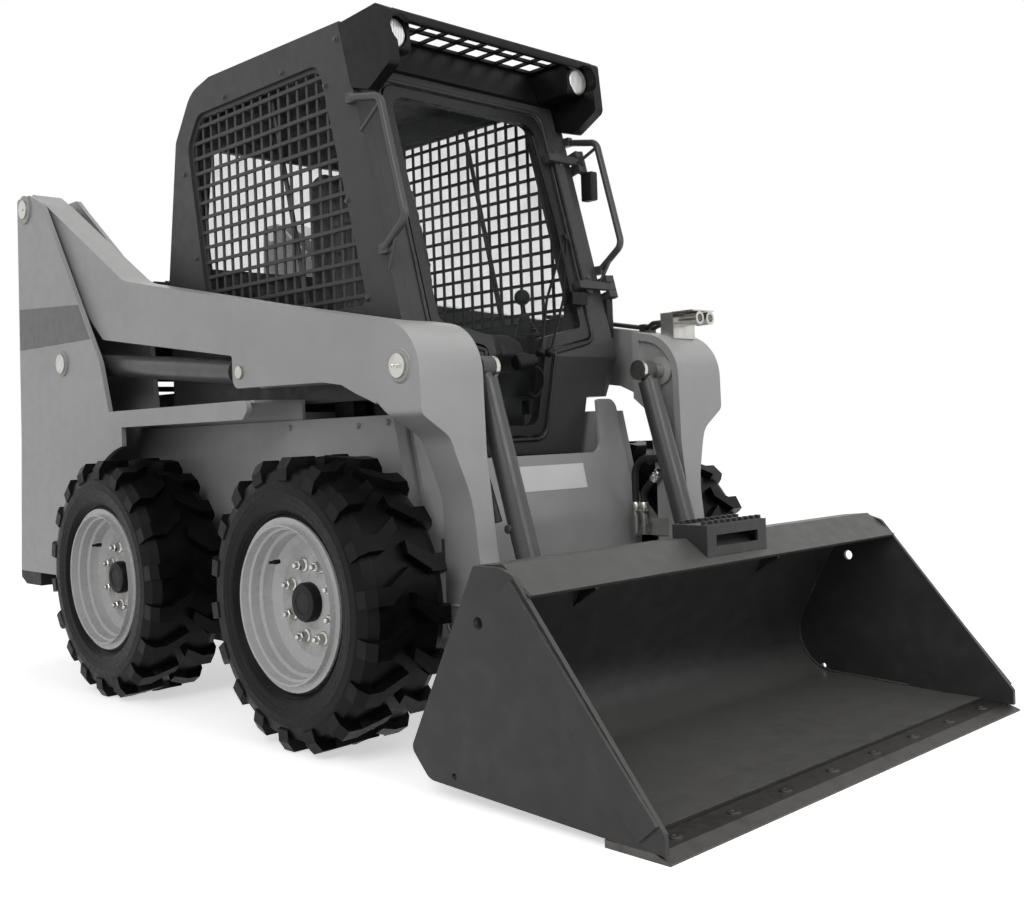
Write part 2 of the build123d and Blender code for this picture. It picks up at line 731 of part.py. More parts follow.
lift_y = lug_y
lift_barrel, lift_rod = cylinder_pair(
    (lift_base_x, lift_base_z),
    (lug_x, lug_z),
    lift_y,
    lift_barrel_radius,
    lift_rod_radius,
    lift_eye_radius,
    lift_eye_width,
    lift_gland_back,
    pivot_pin_radius,
)
tilt_barrel, tilt_rod = cylinder_pair(
    (tilt_base_x, tilt_base_z),
    (tilt_rod_pin_x, tilt_rod_pin_z),
    tilt_y,
    tilt_barrel_radius,
    tilt_rod_radius,
    tilt_eye_radius,
    tilt_eye_width,
    tilt_gland_back,
    21,
)
nodes["lift_barrels"] = both_sides(lift_barrel)
nodes["lift_rods"] = both_sides(lift_rod)
port_x = tilt_base_x + (tilt_base_z - 560) * (tilt_rod_pin_x - tilt_base_x) / (tilt_base_z - tilt_rod_pin_z)
port = cross_pin(port_x - 12, 560, 11, tilt_y + 24, tilt_y + 38)
port += cross_pin(port_x - 12, 560, 8, tilt_y + 24, tilt_y + 40)
tilt_barrel = (tilt_barrel + port).solid()
nodes["tilt_barrels"] = both_sides(tilt_barrel)
nodes["tilt_rods"] = both_sides(tilt_rod)


# Quick hitch
def back_x(z):
    """Rear face of the bucket's back plate at height z."""
    return bucket_back_top_x - (bucket_back_top_z - z) * bucket_back_lean


hitch_face = [(back_x(125) - seat_gap, 125), (back_x(445) - seat_gap, 445), (back_x(445) - 40, 452)]
hitch = side_plate(strip(hitch_face, -hitch_plate_thickness), -hitch_plate_half_width, hitch_plate_half_width)
ears = []
pivot_ear = [
    (back_x(130) - 5, 130),
    (back_x(300) - 5, 300),
    (hitch_x - 20, hitch_z + 46, 30),
    (hitch_x - 46, hitch_z, 30),
    (hitch_x - 20, hitch_z - 44, 30),
]
tilt_ear = [
    (back_x(200) - 5, 200),
    (back_x(430) - 5, 430),
    (tilt_rod_pin_x - 10, tilt_rod_pin_z + 42, 20),
    (tilt_rod_pin_x - 36, tilt_rod_pin_z, 30),
    (tilt_rod_pin_x - 10, tilt_rod_pin_z - 42, 30),
]
inner_ear = (arm_knee_inner_y - 4 - ear_plate, arm_knee_inner_y - 4)
outer_ear = (arm_leg_outer_y + 4, arm_leg_outer_y + 4 + ear_plate)
for y_low, y_high in (inner_ear, outer_ear):
    ears.append(side_plate(pivot_ear, y_low, y_high))
for y_low, y_high in (
    (tilt_y - tilt_eye_width / 2 - 3 - 14, tilt_y - tilt_eye_width / 2 - 3),
    (tilt_y + tilt_eye_width / 2 + 3, tilt_y + tilt_eye_width / 2 + 3 + 14),
):
    ears.append(side_plate(tilt_ear, y_low, y_high))
for ear in ears:
    hitch += ear
    hitch += mirror(ear, about=Plane.XZ)
for side in (1, -1):
    y_low, y_high = sorted((side * 370, side * 500))
    hitch -= cross_pin(hitch_x, hitch_z, hitch_pin_radius + pin_gap, y_low, y_high)
hitch = hitch.solid()
nodes["quick_hitch"] = hitch
hitch_pin = cross_pin(hitch_x, hitch_z, hitch_pin_radius, inner_ear[0] - 6, outer_ear[1] + 6)
nodes["hitch_pins"] = both_sides(hitch_pin)

# Bucket
half_bucket = bucket_width / 2
heel_x = back_x(bucket_heel_z)
shell_line = [
    (1416, 471),
    (1332, 531),
    (bucket_back_top_x, bucket_back_top_z),
    (heel_x, bucket_heel_z, bucket_heel_radius),
    (1560, cutting_edge_thickness + seat_gap),
    (1660, cutting_edge_thickness + seat_gap),
]
inner_y = half_bucket - bucket_side_plate
shell = side_plate(strip(shell_line, -bucket_sheet), -inner_y, inner_y)
side_line = [
    (bucket_back_top_x, bucket_back_top_z, 10),
    (back_x(98), 98, 20),
    (1084, 36, 40),
    (1640, cutting_edge_thickness + seat_gap),
    (1752, cutting_edge_thickness + seat_gap),
    (1752, 56, 10),
    (1372, 512, 25),
    (1332, 524),
]
bucket_side = side_plate(side_line, inner_y, half_bucket)
edge_strip = side_plate(strip([(1368, 500), (1740, 70)], 62), half_bucket - 1, half_bucket + 8)
bucket_side += edge_strip
for x, z, radius in ((1263, 402, 14), (1169, 57, 8)):
    bucket_side -= cross_pin(x, z, radius, inner_y - 1, half_bucket + 1)
bucket = shell + bucket_side + mirror(bucket_side, about=Plane.XZ)
for y in (-380, 380):
    rib = side_plate([(1262, 524), (1262, 430), (back_x(380) + 5, 380), (back_x(520) + 5, 520)], y - 5, y + 5)
    bucket += rib
nodes["bucket_shell"] = bucket.solid()
cutting_edge = side_plate(
    [
        (bucket_lip_x - cutting_edge_depth, 0),
        (bucket_lip_x, 0),
        (bucket_lip_x, 4),
        (bucket_lip_x - 34, cutting_edge_thickness),
        (bucket_lip_x - cutting_edge_depth, cutting_edge_thickness),
    ],
    -half_bucket,
    half_bucket,
)
nodes["cutting_edge"] = cutting_edge

# Step in the middle of the bucket's top lip
step_half = 125.0
lip_slope = (531 - 471) / (1416 - 1332)
step_top = 564.0
step_front = 1396.0
step_line = [
    (1290, 529),
    (1290, step_top),
    (step_front, step_top),
    (step_front, 531 - (step_front - 1332) * lip_slope + seat_gap),
    (1332, 531 + seat_gap),
]
step = side_plate(step_line, -step_half, step_half)
step -= block(1250, step_front - 8, -step_half + 8, step_half - 8, 400, step_top - 8)
step -= block(step_front - 20, step_front + 5, -88, 88, 510, 538)
for i in range(10):
    y = -112 + i * 224 / 9
    for x in (1304, 1372):
        step += block(x, x + 14, y - 5, y + 5, step_top - 1, step_top + 9)
nodes["bucket_step"] = step.solid()


# Cab
def front_x(z):
    """Front face of the cab at height z."""
    return front_top_x + (1960 - z) * front_lean


cheek_z = 1033.0
cab_side_line = [
    (cab_rear_x, cab_bottom_z),
    (cab_rear_x, 1376),
    (-549, 1831, 40),
    (-440, 1975, 120),
    (-319, roof_z),
    (front_x(1985), 1985),
    (front_x(cheek_z), cheek_z, 30),
    (front_x(cheek_z) - 50, cab_bottom_z),
]
window_line = [
    (-370, 1165, 40),
    (-470, 1800, 60),
    (-400, 1895, 60),
    (front_x(1890) - 130, 1890, 60),
    (front_x(1165) - 130, 1165, 40),
]
cab_side = side_plate(cab_side_line, cab_half_width - cab_wall, cab_half_width)
cab_side -= side_plate(window_line, cab_half_width - cab_wall - 1, cab_half_width + 1)
nodes["cab_side_left"] = cab_side.solid()
nodes["cab_side_right"] = mirror(cab_side, about=Plane.XZ).solid()
cab_inner_y = cab_half_width - cab_wall - seat_gap
glass_y = cab_half_width - cab_wall + 3
side_glass = side_plate(inset(window_line, seat_gap), glass_y, glass_y + 6)
nodes["side_glass"] = both_sides(side_glass)

# Steel screens outside the side windows: upright bars, then level ones
bar_width = 11.0
bar_pitch = 50.0
screen_y = glass_y + 6 + seat_gap + 8
screen_thickness = 5.0
screen_area = inset(window_line, seat_gap)
screen_hole = inset(window_line, 14)


def screen_layer(bars, y_low):
    y_high = y_low + screen_thickness
    holes = side_plate(screen_hole, y_low - 1, y_high + 1) - bars
    return side_plate(screen_area, y_low, y_high) - holes


upright_bars = Part()
for i in range(19):
    x = -450 + i * bar_pitch
    upright_bars += block(x, x + bar_width, 300, 500, 1100, 1950)
level_bars = Part()
for i in range(14):
    z = 1200 + i * bar_pitch
    level_bars += block(-600, 700, 300, 500, z, z + bar_width)
mullion_line = [(-6, 1895), (6, 1895), (178, 1165), (158, 1165)]
mullion = side_plate(mullion_line, glass_y + 6 + seat_gap, screen_y - seat_gap)
mullion &= side_plate(screen_area, 300, 500)
screens = [
    screen_layer(upright_bars, screen_y),
    screen_layer(level_bars, screen_y + screen_thickness + seat_gap),
    mullion,
]
window_screens = Compound([s for screen in screens for s in screen.solids()])
nodes["window_screens"] = both_sides(window_screens)
cab_rear = side_plate(
    strip([(cab_rear_x, cab_bottom_z), (cab_rear_x, 1376), (-549, 1831), (-480, 1925)], 24),
    -cab_inner_y,
    cab_inner_y,
)
cab_rear -= block(-700, -400, -300, 300, 1420, 1820)
nodes["cab_rear"] = cab_rear.solid()
rear_line = [(x + 8, z) for x, z in ((cab_rear_x, 1376), (-549, 1831))]
rear_glass = side_plate(strip(rear_line, 6), -cab_inner_y, cab_inner_y)
rear_glass &= block(-700, -400, -300 + seat_gap, 300 - seat_gap, 1420 + seat_gap, 1820 - seat_gap)
nodes["rear_glass"] = rear_glass.solid()
cab_roof = side_plate(
    strip([(-478, 1928), (-440, 1970), (-319, roof_z - 4), (front_x(1985), 1981)], roof_sheet),
    -cab_inner_y,
    cab_inner_y,
)
nodes["cab_roof"] = cab_roof.solid()

# Front frame: posts, header and cheeks round the door
post_width = 60.0
lower_half = 136.0
upper_half = cab_inner_y - post_width
step_low_z = 1050.0
step_high_z = 1090.0
door_top_z = 1826.0
door_bottom_z = 790.0
fold_back = 60.0
front_line = [
    (front_x(1948), 1948),
    (front_x(cheek_z), cheek_z),
    (front_x(cheek_z) - fold_back, foot_notch_z + 2),
]


def door_shape(inset):
    """Block through the cab's front with the outline of the door opening, inset all round."""
    half = [
        (lower_half - inset, door_bottom_z + inset, 30),
        (lower_half - inset, step_low_z + inset, 20),
        (upper_half - inset, step_high_z + inset, 20),
        (upper_half - inset, door_top_z - inset, 50),
    ]
    return front_plate(half + [(-p[0], *p[1:]) for p in half[::-1]], 300, 900)


front_frame = side_plate(strip(front_line, 40), -cab_inner_y, cab_inner_y)
front_frame -= door_shape(0)
for side in (1, -1):
    y_low, y_high = sorted((side * (foot_notch_half_width - 6), side * 500))
    front_frame -= block(300, 900, y_low, y_high, 700, shoulder_z + 8)
nodes["cab_front_frame"] = front_frame.solid()

# Door: a rubber-edged frame with one tall window
door_line = [(front_x(1900), 1900), *front_line[1:]]
door_sheet = side_plate(strip(door_line, 30), -cab_inner_y, cab_inner_y)
door_rail = 30.0
door = (door_sheet & door_shape(door_gap)) - door_shape(door_gap + door_rail)
nodes["door_frame"] = door.solid()
glass_line = [(x - 12, z) for x, z in door_line]
door_glass = side_plate(strip(glass_line, 6), -cab_inner_y, cab_inner_y)
door_glass &= door_shape(door_gap + door_rail + seat_gap)
nodes["door_glass"] = door_glass.solid()

# Wiper on the door's left edge, with its motor inside the foot of the window
wiper_ahead = 16.0
wiper = bar_between((front_x(1745) + wiper_ahead, 258, 1745), (front_x(1440) + wiper_ahead, 276, 1440), 7)
wiper += bar_between(
    (front_x(1480) + wiper_ahead, 274, 1480), (front_x(1215) + wiper_ahead + 2, 262, 1215), 6
)
wiper += block(front_x(1196) + seat_gap, front_x(1196) + 26, 248, 318, 1196, 1234)
nodes["wiper"] = wiper.solid()

# Floor of the cab, stepped down to the footwell
foot_half = foot_notch_half_width - 8
floor = block(cab_rear_x + 30, 340, -cab_inner_y, cab_inner_y, cab_bottom_z, cab_bottom_z + 10)
floor += block(330, 340, -foot_half, foot_half, foot_notch_z + 8, cab_bottom_z + 5)
floor += block(330, 545, -foot_half, foot_half, foot_notch_z + 8, foot_notch_z + 18)

# Shelf behind the seat, over the machinery
shelf_front_x = -140.0
floor += block(shelf_front_x - 10, shelf_front_x, -cab_inner_y, cab_inner_y, cab_bottom_z + 5, 1132)
floor += block(cab_rear_x + 30, shelf_front_x, -cab_inner_y, cab_inner_y, 1122, 1132)
nodes["cab_floor"] = floor.solid()

# Seat
seat_bottom_z = cab_bottom_z + 10 + seat_gap
seat_top_z = 1105.0
seat_base = block(0, 320, -190, 190, seat_bottom_z, 1000)
seat_base += block(-60, 55, -150, 150, 960, 1115 - seat_gap)
nodes["seat_base"] = seat_base.solid()
cushion_line = [
    (70, 1000 + seat_gap, 10),
    (70, seat_top_z, 20),
    (250, seat_top_z - 10),
    (440, seat_top_z + 12, 40),
    (470, 1050, 30),
    (430, 1000 + seat_gap, 20),
]
cushion = side_plate(cushion_line, -245, 245)
nodes["seat_cushion"] = cushion.solid()
back_line = [
    (60 + seat_gap, 1115, 14),
    (-70, 1115, 20),
    (-118, 1690, 30),
    (-40, 1700, 34),
    (30, 1330),
]
seat_back = side_plate(back_line, -245, 245)
seat_back &= front_plate(
    [(-225, 1090, 40), (225, 1090, 40), (245, 1400, 90), (205, 1720, 90), (-205, 1720, 90), (-245, 1400, 90)],
    -300,
    300,
)
nodes["seat_back"] = seat_back.solid()

# Control levers beside the seat
levers = []
for side in (1, -1):
    pod_low, pod_high = sorted((side * 262, side * 340))
    lever = block(80, 420, pod_low, pod_high, seat_bottom_z, 1120)
    lever += bar_between((380, side * 300, 1115), (384, side * 280, 1225), 8)
    lever += Pos(384, side * 280, 1245) * Sphere(26)
    levers += lever.solids()
nodes["control_levers"] = Compound(levers)

# Roof cap over the door: cheeks, lamp housings, open grille and rim
cap_cheek_y = 395.0
cap_outer_y = 431.0
cap_top_z = 1975.0
lamp_y = 372.0
lamp_z = 1916.0
lamp_radius = 42.0
lamp_x = 562.0
housing_low_z = lamp_z - lamp_radius - 4
cheek_line = [
    (front_x(cap_top_z) + seat_gap, cap_top_z),
    (574, 1985, 12),
    (612, 1966, 14),
    (628, 1815, 20),
    (530, 1762, 20),
    (front_x(1785) + seat_gap, 1785),
]
cap = Part()
for side in (1, -1):
    y_low, y_high = sorted((side * cap_cheek_y, side * cap_outer_y))
    cap += side_plate(cheek_line, y_low, y_high)
    y_low, y_high = sorted((side * 318, side * (cap_cheek_y + 2)))
    cap += side_plate(
        [
            (front_x(housing_low_z) + seat_gap, housing_low_z),
            (front_x(1972) + seat_gap, 1972),
            (576, 1972, 8),
            (584, housing_low_z, 20),
        ],
        y_low,
        y_high,
    )
band_line = [(front_x(1972) + seat_gap, 1972), (front_x(1862) + seat_gap, 1862)]
cap += side_plate(strip(band_line, -16), -cap_cheek_y - 2, cap_cheek_y + 2)
cap += block(front_x(1960) + 1, 600, -cap_cheek_y - 2, cap_cheek_y + 2, 1963, 1972)
rim_line = [(588, 1944, 6), (588, 1972), (610, 1972, 10), (612, 1944, 10)]
cap += side_plate(rim_line, -cap_cheek_y - 2, cap_cheek_y + 2)
grille_columns = 8
grille_pitch = 616 / grille_columns
for i in range(grille_columns):
    y = -308 + i * grille_pitch
    for x in (432, 512):
        cap -= block(x, x + 68, y + 5, y + grille_pitch - 5, 1950, 1990)
for side in (1, -1):
    lamp_back = (lamp_x - seat_gap, side * lamp_y, lamp_z)
    cap -= bar_between(lamp_back, (660, side * lamp_y, lamp_z), lamp_radius + seat_gap)
nodes["roof_visor"] = cap.solid()
lamp = bar_between((lamp_x, lamp_y, lamp_z), (lamp_x + 16, lamp_y, lamp_z), lamp_radius)
lamp = fillet(lamp.edges().filter_by(GeomType.CIRCLE).sort_by(Axis.X)[-1], 8)
nodes["work_lamps"] = both_sides(lamp)

# Grab handles beside the door
handle_y = cab_half_width + 13
handle_route = [(462, handle_y, 1753), (588, handle_y, 1729), (680, handle_y, 1389), (584, handle_y, 1318)]
handle = bent_tube(handle_route, 11, 34)
for x, z in ((460, 1753), (582, 1318)):
    handle += block(x - 18, x + 18, cab_half_width + seat_gap, handle_y + 6, z - 14, z + 14)
nodes["grab_handles"] = both_sides(handle.solid())

# Rubber mounts under the cab
cab_mounts = []
for x in (-560, 250):
    mount = block(
        x, x + 90, chain_case_inner_y + 10, cab_inner_y - 5, chain_case_top + seat_gap, cab_bottom_z - seat_gap
    )
    cab_mounts += [mount, mirror(mount, about=Plane.XZ)]
nodes["cab_mounts"] = Compound([s for mount in cab_mounts for s in mount.solids()])

# Hinges of the cab door, on the machine's left
door_hinge_z = 1475.0
door_hinge_y = cab_half_width + 27
lean_angle = math.atan(front_lean)
hinge_ahead = 27.0
door_hinge_x = front_x(door_hinge_z) + hinge_ahead / math.cos(lean_angle)
cab_hinges = []
door_hinges = []
for z in (1262.0, 1680.0):
    place = Plane(
        origin=(front_x(z) + hinge_ahead / math.cos(lean_angle), door_hinge_y, z),
        x_dir=(1, 0, front_lean),
        z_dir=(-front_lean, 0, 1),
    )
    to_cab = -door_hinge_y + cab_half_width + seat_gap
    bracket = Part() + Cylinder(7, 76)
    for z_low, z_high in ((-36, -14), (14, 36)):
        bracket += block(-9, 9, to_cab, 0, z_low, z_high)
        bracket += Pos(0, 0, (z_low + z_high) / 2) * Cylinder(13, z_high - z_low)
        bracket += block(-70, 9, to_cab, to_cab + 8, z_low, z_high)
    bracket += block(-70, -34, to_cab, to_cab + 8, -36, 36)
    cab_hinges.append((place * bracket).solid())
    leaf = Part() + Cylinder(13, 25)
    leaf += block(-6, 6, -156, -8, -12.5, 12.5)
    leaf += block(seat_gap - hinge_ahead, 6, -156, -133, -12.5, 12.5)
    leaf -= Cylinder(7 + pin_gap, 30)
    door_hinges.append((place * leaf).solid())
nodes["cab_hinges"] = Compound(cab_hinges)
nodes["door_hinges"] = Compound(door_hinges)

# Put the origin under the middle of the machine
whole = Compound([s for part in nodes.values() for s in part.solids()]).bounding_box()
shift_x = -(whole.min.X + whole.max.X) / 2

for name, part in nodes.items():
    export_step(Pos(shift_x, 0, 0) * part, f"parts/{name}.step")
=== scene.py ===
"""Looks of the skid steer loader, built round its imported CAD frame. Metres, +X forwards, +Y left, +Z up."""

import json
import math
import random

import bmesh
import bpy
from mathutils import Matrix, Vector


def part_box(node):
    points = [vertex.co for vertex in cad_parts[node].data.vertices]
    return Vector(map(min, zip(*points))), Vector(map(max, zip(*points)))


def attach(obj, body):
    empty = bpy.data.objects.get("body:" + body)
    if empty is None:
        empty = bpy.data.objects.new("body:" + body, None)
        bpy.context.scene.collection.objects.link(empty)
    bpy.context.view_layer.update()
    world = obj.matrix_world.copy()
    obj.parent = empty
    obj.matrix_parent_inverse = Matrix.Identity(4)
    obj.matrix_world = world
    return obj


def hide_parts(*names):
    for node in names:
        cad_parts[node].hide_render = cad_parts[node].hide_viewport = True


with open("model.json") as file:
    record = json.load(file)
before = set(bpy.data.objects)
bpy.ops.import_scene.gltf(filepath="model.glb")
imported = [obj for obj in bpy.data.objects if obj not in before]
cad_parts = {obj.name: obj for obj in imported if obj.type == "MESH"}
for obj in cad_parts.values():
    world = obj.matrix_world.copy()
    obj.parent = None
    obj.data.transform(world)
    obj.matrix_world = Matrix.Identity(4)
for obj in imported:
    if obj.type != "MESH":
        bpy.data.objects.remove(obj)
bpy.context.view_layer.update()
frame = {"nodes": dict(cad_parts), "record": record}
nodes = frame["nodes"]
record = frame["record"]

# Driving dimensions in the frame
SHIFT_X = -0.139
WHEELBASE = 1.064
AXLE_Z = 0.383
AXLES = {"front": SHIFT_X + WHEELBASE / 2, "rear": SHIFT_X - WHEELBASE / 2}
DISC_Y = 0.675
SIDES = {"left": 1, "right": -1}

# Sockets of the Mix node that take its two colours
COLOUR_A = 6
COLOUR_B = 7


def linear(hex_colour):
    """sRGB hex colour as the linear RGBA that Blender's sockets take."""
    channels = [int(hex_colour[i : i + 2], 16) / 255 for i in (1, 3, 5)]
    return [c / 12.92 if c <= 0.04045 else ((c + 0.055) / 1.055) ** 2.4 for c in channels] + [1.0]


def toned(hex_colour, times, lift=0.0):
    """The same colour, so many times as bright, and then lifted."""
    return [c * times + lift for c in linear(hex_colour)[:3]] + [1.0]


def wire(tree, node, inputs):
    """Sets sockets by name or number: to a value, an output, or a node, for its first live output."""
    for socket, value in inputs.items():
        if isinstance(value, bpy.types.Node):
            value = next(output for output in value.outputs if output.enabled)
        if isinstance(value, bpy.types.NodeSocket):
            tree.links.new(value, node.inputs[socket])
        else:
            node.inputs[socket].default_value = value


def add_node(tree, kind, inputs=None, **settings):
    """Adds a shader node with its settings, values and links."""
    node = tree.nodes.new(kind)
    for key, value in settings.items():
        setattr(node, key, value)
    wire(tree, node, inputs or {})
    return node


def across(size_mm):
    """Scale of a pattern whose features are size_mm across, which is how many of them make a metre."""
    return 1000.0 / size_mm


def new_material(name):
    """An empty material with its shader, and the place in metres that its patterns follow."""
    material = bpy.data.materials.new(name)
    material.use_nodes = True
    tree = material.node_tree
    shader = tree.nodes["Principled BSDF"]
    place = add_node(tree, "ShaderNodeTexCoord").outputs["Object"]
    return material, tree, shader, place


def sprayed_enamel(
    name, colour, worn_colour, gloss=0.36, dust="#8A8986", dust_amount=0.10, shine=0.5, dust_and_light_on_top=0.2
):
    """Enamel sprayed on steel: a satin coat, a little uneven in tone, with orange peel 3 mm across.

    Dust clings low down, top faces are paler, partly from settled dust and partly as painted light from
    above, and edges are scuffed to a duller tone.
    """
    material, tree, shader, place = new_material(name)
    cloud = {"Vector": place, "Detail": 3.0, "Roughness": 0.55}
    true_normal = add_node(tree, "ShaderNodeNewGeometry").outputs["Normal"]

    # Uneven tone, over about a hand's length
    mottle = add_node(tree, "ShaderNodeTexNoise", {**cloud, "Scale": across(260)})
    mottle = add_node(tree, "ShaderNodeMapRange", {"Value": mottle, "From Min": 0.3, "From Max": 0.7})
    tones = {"Factor": mottle, COLOUR_A: linear(colour), COLOUR_B: toned(colour, 0.88)}
    paint = add_node(tree, "ShaderNodeMix", tones, data_type="RGBA")

    # Dust in patches, thickest below 100 mm and thin above 900 mm
    height = add_node(tree, "ShaderNodeSeparateXYZ", {"Vector": place}).outputs["Z"]
    low_down = {"Value": height, "From Min": 0.9, "From Max": 0.1, "To Min": 0.25}
    low_down = add_node(tree, "ShaderNodeMapRange", low_down)
    grime = add_node(tree, "ShaderNodeTexNoise", {**cloud, "Scale": across(70), "Detail": 6.0})
    grime = {"Value": grime, "From Min": 0.45, "From Max": 0.75, "To Max": dust_amount}
    grime = add_node(tree, "ShaderNodeMapRange", grime)
    grime = add_node(tree, "ShaderNodeMath", {0: low_down, 1: grime}, operation="MULTIPLY")
    dusted = {"Factor": grime, COLOUR_A: paint, COLOUR_B: linear(dust)}
    paint = add_node(tree, "ShaderNodeMix", dusted, data_type="RGBA")

    # Faces that look upwards are paler: partly settled dust, partly painted light from above
    upwards = add_node(tree, "ShaderNodeSeparateXYZ", {"Vector": true_normal}).outputs["Z"]
    top_dust_and_light_mask = {"Value": upwards, "From Min": 0.25, "From Max": 0.95, "To Max": dust_and_light_on_top}
    top_dust_and_light_mask = add_node(tree, "ShaderNodeMapRange", top_dust_and_light_mask)
    dusted = {"Factor": top_dust_and_light_mask, COLOUR_A: paint, COLOUR_B: linear(dust)}
    paint = add_node(tree, "ShaderNodeMix", dusted, data_type="RGBA")

    # Scuffs in patches along edges, which are rounded by 2 mm
    edge = add_node(tree, "ShaderNodeBevel", {"Radius": 0.002}, samples=3)
    same = add_node(tree, "ShaderNodeVectorMath", {0: edge, 1: true_normal}, operation="DOT_PRODUCT")
    on_edge = {"Value": same.outputs["Value"], "From Min": 0.995, "From Max": 0.9}
    on_edge = add_node(tree, "ShaderNodeMapRange", on_edge)
    patches = add_node(tree, "ShaderNodeTexNoise", {**cloud, "Scale": across(18), "Detail": 4.0})
    patches = add_node(tree, "ShaderNodeMapRange", {"Value": patches, "From Min": 0.52, "From Max": 0.64})
    scuff = add_node(tree, "ShaderNodeMath", {0: on_edge, 1: patches}, operation="MULTIPLY")
    scuffed = {"Factor": scuff, COLOUR_A: paint, COLOUR_B: linear(worn_colour)}
    paint = add_node(tree, "ShaderNodeMix", scuffed, data_type="RGBA")

    # Satin that varies over 40 mm, and orange peel
    satin = add_node(tree, "ShaderNodeTexNoise", {**cloud, "Scale": across(40), "Detail": 4.0})
    satin = {"Value": satin, "From Min": 0.3, "From Max": 0.7}
    satin |= {"To Min": gloss - 0.05, "To Max": gloss + 0.12}
    peel = add_node(tree, "ShaderNodeTexNoise", {**cloud, "Scale": across(3), "Detail": 2.0})
    relief = {"Height": peel, "Distance": 0.00015, "Strength": 0.12, "Normal": edge}
    finish = {
        "Base Color": paint,
        "Roughness": add_node(tree, "ShaderNodeMapRange", satin),
        "Specular IOR Level": shine,
        "Coat Weight": 0.2 * shine,
        "Coat Roughness": 0.25,
        "Normal": add_node(tree, "ShaderNodeBump", relief),
    }
    wire(tree, shader, finish)
    return material


def bare_steel(name, colour, rough_low, rough_high, grain_mm, stretch=(1.0, 1.0, 1.0)):
    """Steel with no paint: bright metal with a grain from its grinding or plating, and darker stains.

    Real grain is a tenth of a millimetre, too fine to show, so it is drawn about ten times as coarse.
    """
    material, tree, shader, place = new_material(name)
    cloud = {"Vector": place, "Detail": 3.0, "Roughness": 0.55}
    lay = add_node(tree, "ShaderNodeMapping", {"Vector": place, "Scale": stretch})
    grain = add_node(tree, "ShaderNodeTexNoise", {**cloud, "Vector": lay, "Scale": across(grain_mm)})
    stains = add_node(tree, "ShaderNodeTexNoise", {**cloud, "Scale": across(45), "Detail": 5.0})
    stains = {"Value": stains, "From Min": 0.45, "From Max": 0.75, "To Max": 0.5}
    stains = add_node(tree, "ShaderNodeMapRange", stains)
    stained = {"Factor": stains, COLOUR_A: linear(colour), COLOUR_B: toned(colour, 0.45)}
    sheen = {"Value": grain, "From Min": 0.3, "From Max": 0.7, "To Min": rough_low, "To Max": rough_high}
    relief = {"Height": grain, "Distance": 0.00005, "Strength": 0.15}
    finish = {
        "Base Color": add_node(tree, "ShaderNodeMix", stained, data_type="RGBA"),
        "Metallic": 1.0,
        "Roughness": add_node(tree, "ShaderNodeMapRange", sheen),
        "Normal": add_node(tree, "ShaderNodeBump", relief),
    }
    wire(tree, shader, finish)
    return material


def extruded_rubber():
    """Black rubber extruded for seals: dull, with a pebble 2 mm across and paler dust in patches."""
    material, tree, shader, place = new_material("extruded_rubber_seal")
    cloud = {"Vector": place, "Detail": 3.0, "Roughness": 0.55}
    dust = add_node(tree, "ShaderNodeTexNoise", {**cloud, "Scale": across(55), "Detail": 6.0})
    dust = {"Value": dust, "From Min": 0.42, "From Max": 0.72, "To Max": 0.5}
    dust = add_node(tree, "ShaderNodeMapRange", dust)
    dusted = {"Factor": dust, COLOUR_A: linear("#0B0B0B"), COLOUR_B: linear("#1C1B1A")}
    dull = add_node(tree, "ShaderNodeTexNoise", {**cloud, "Scale": across(12)})
    dull = {"Value": dull, "From Min": 0.3, "From Max": 0.7, "To Min": 0.4, "To Max": 0.6}
    pebble = add_node(tree, "ShaderNodeTexNoise", {**cloud, "Scale": across(2), "Detail": 2.0})
    relief = {"Height": pebble, "Distance": 0.0002, "Strength": 0.25}
    finish = {
        "Base Color": add_node(tree, "ShaderNodeMix", dusted, data_type="RGBA"),
        "Roughness": add_node(tree, "ShaderNodeMapRange", dull),
        "Normal": add_node(tree, "ShaderNodeBump", relief),
    }
    wire(tree, shader, finish)
    return material


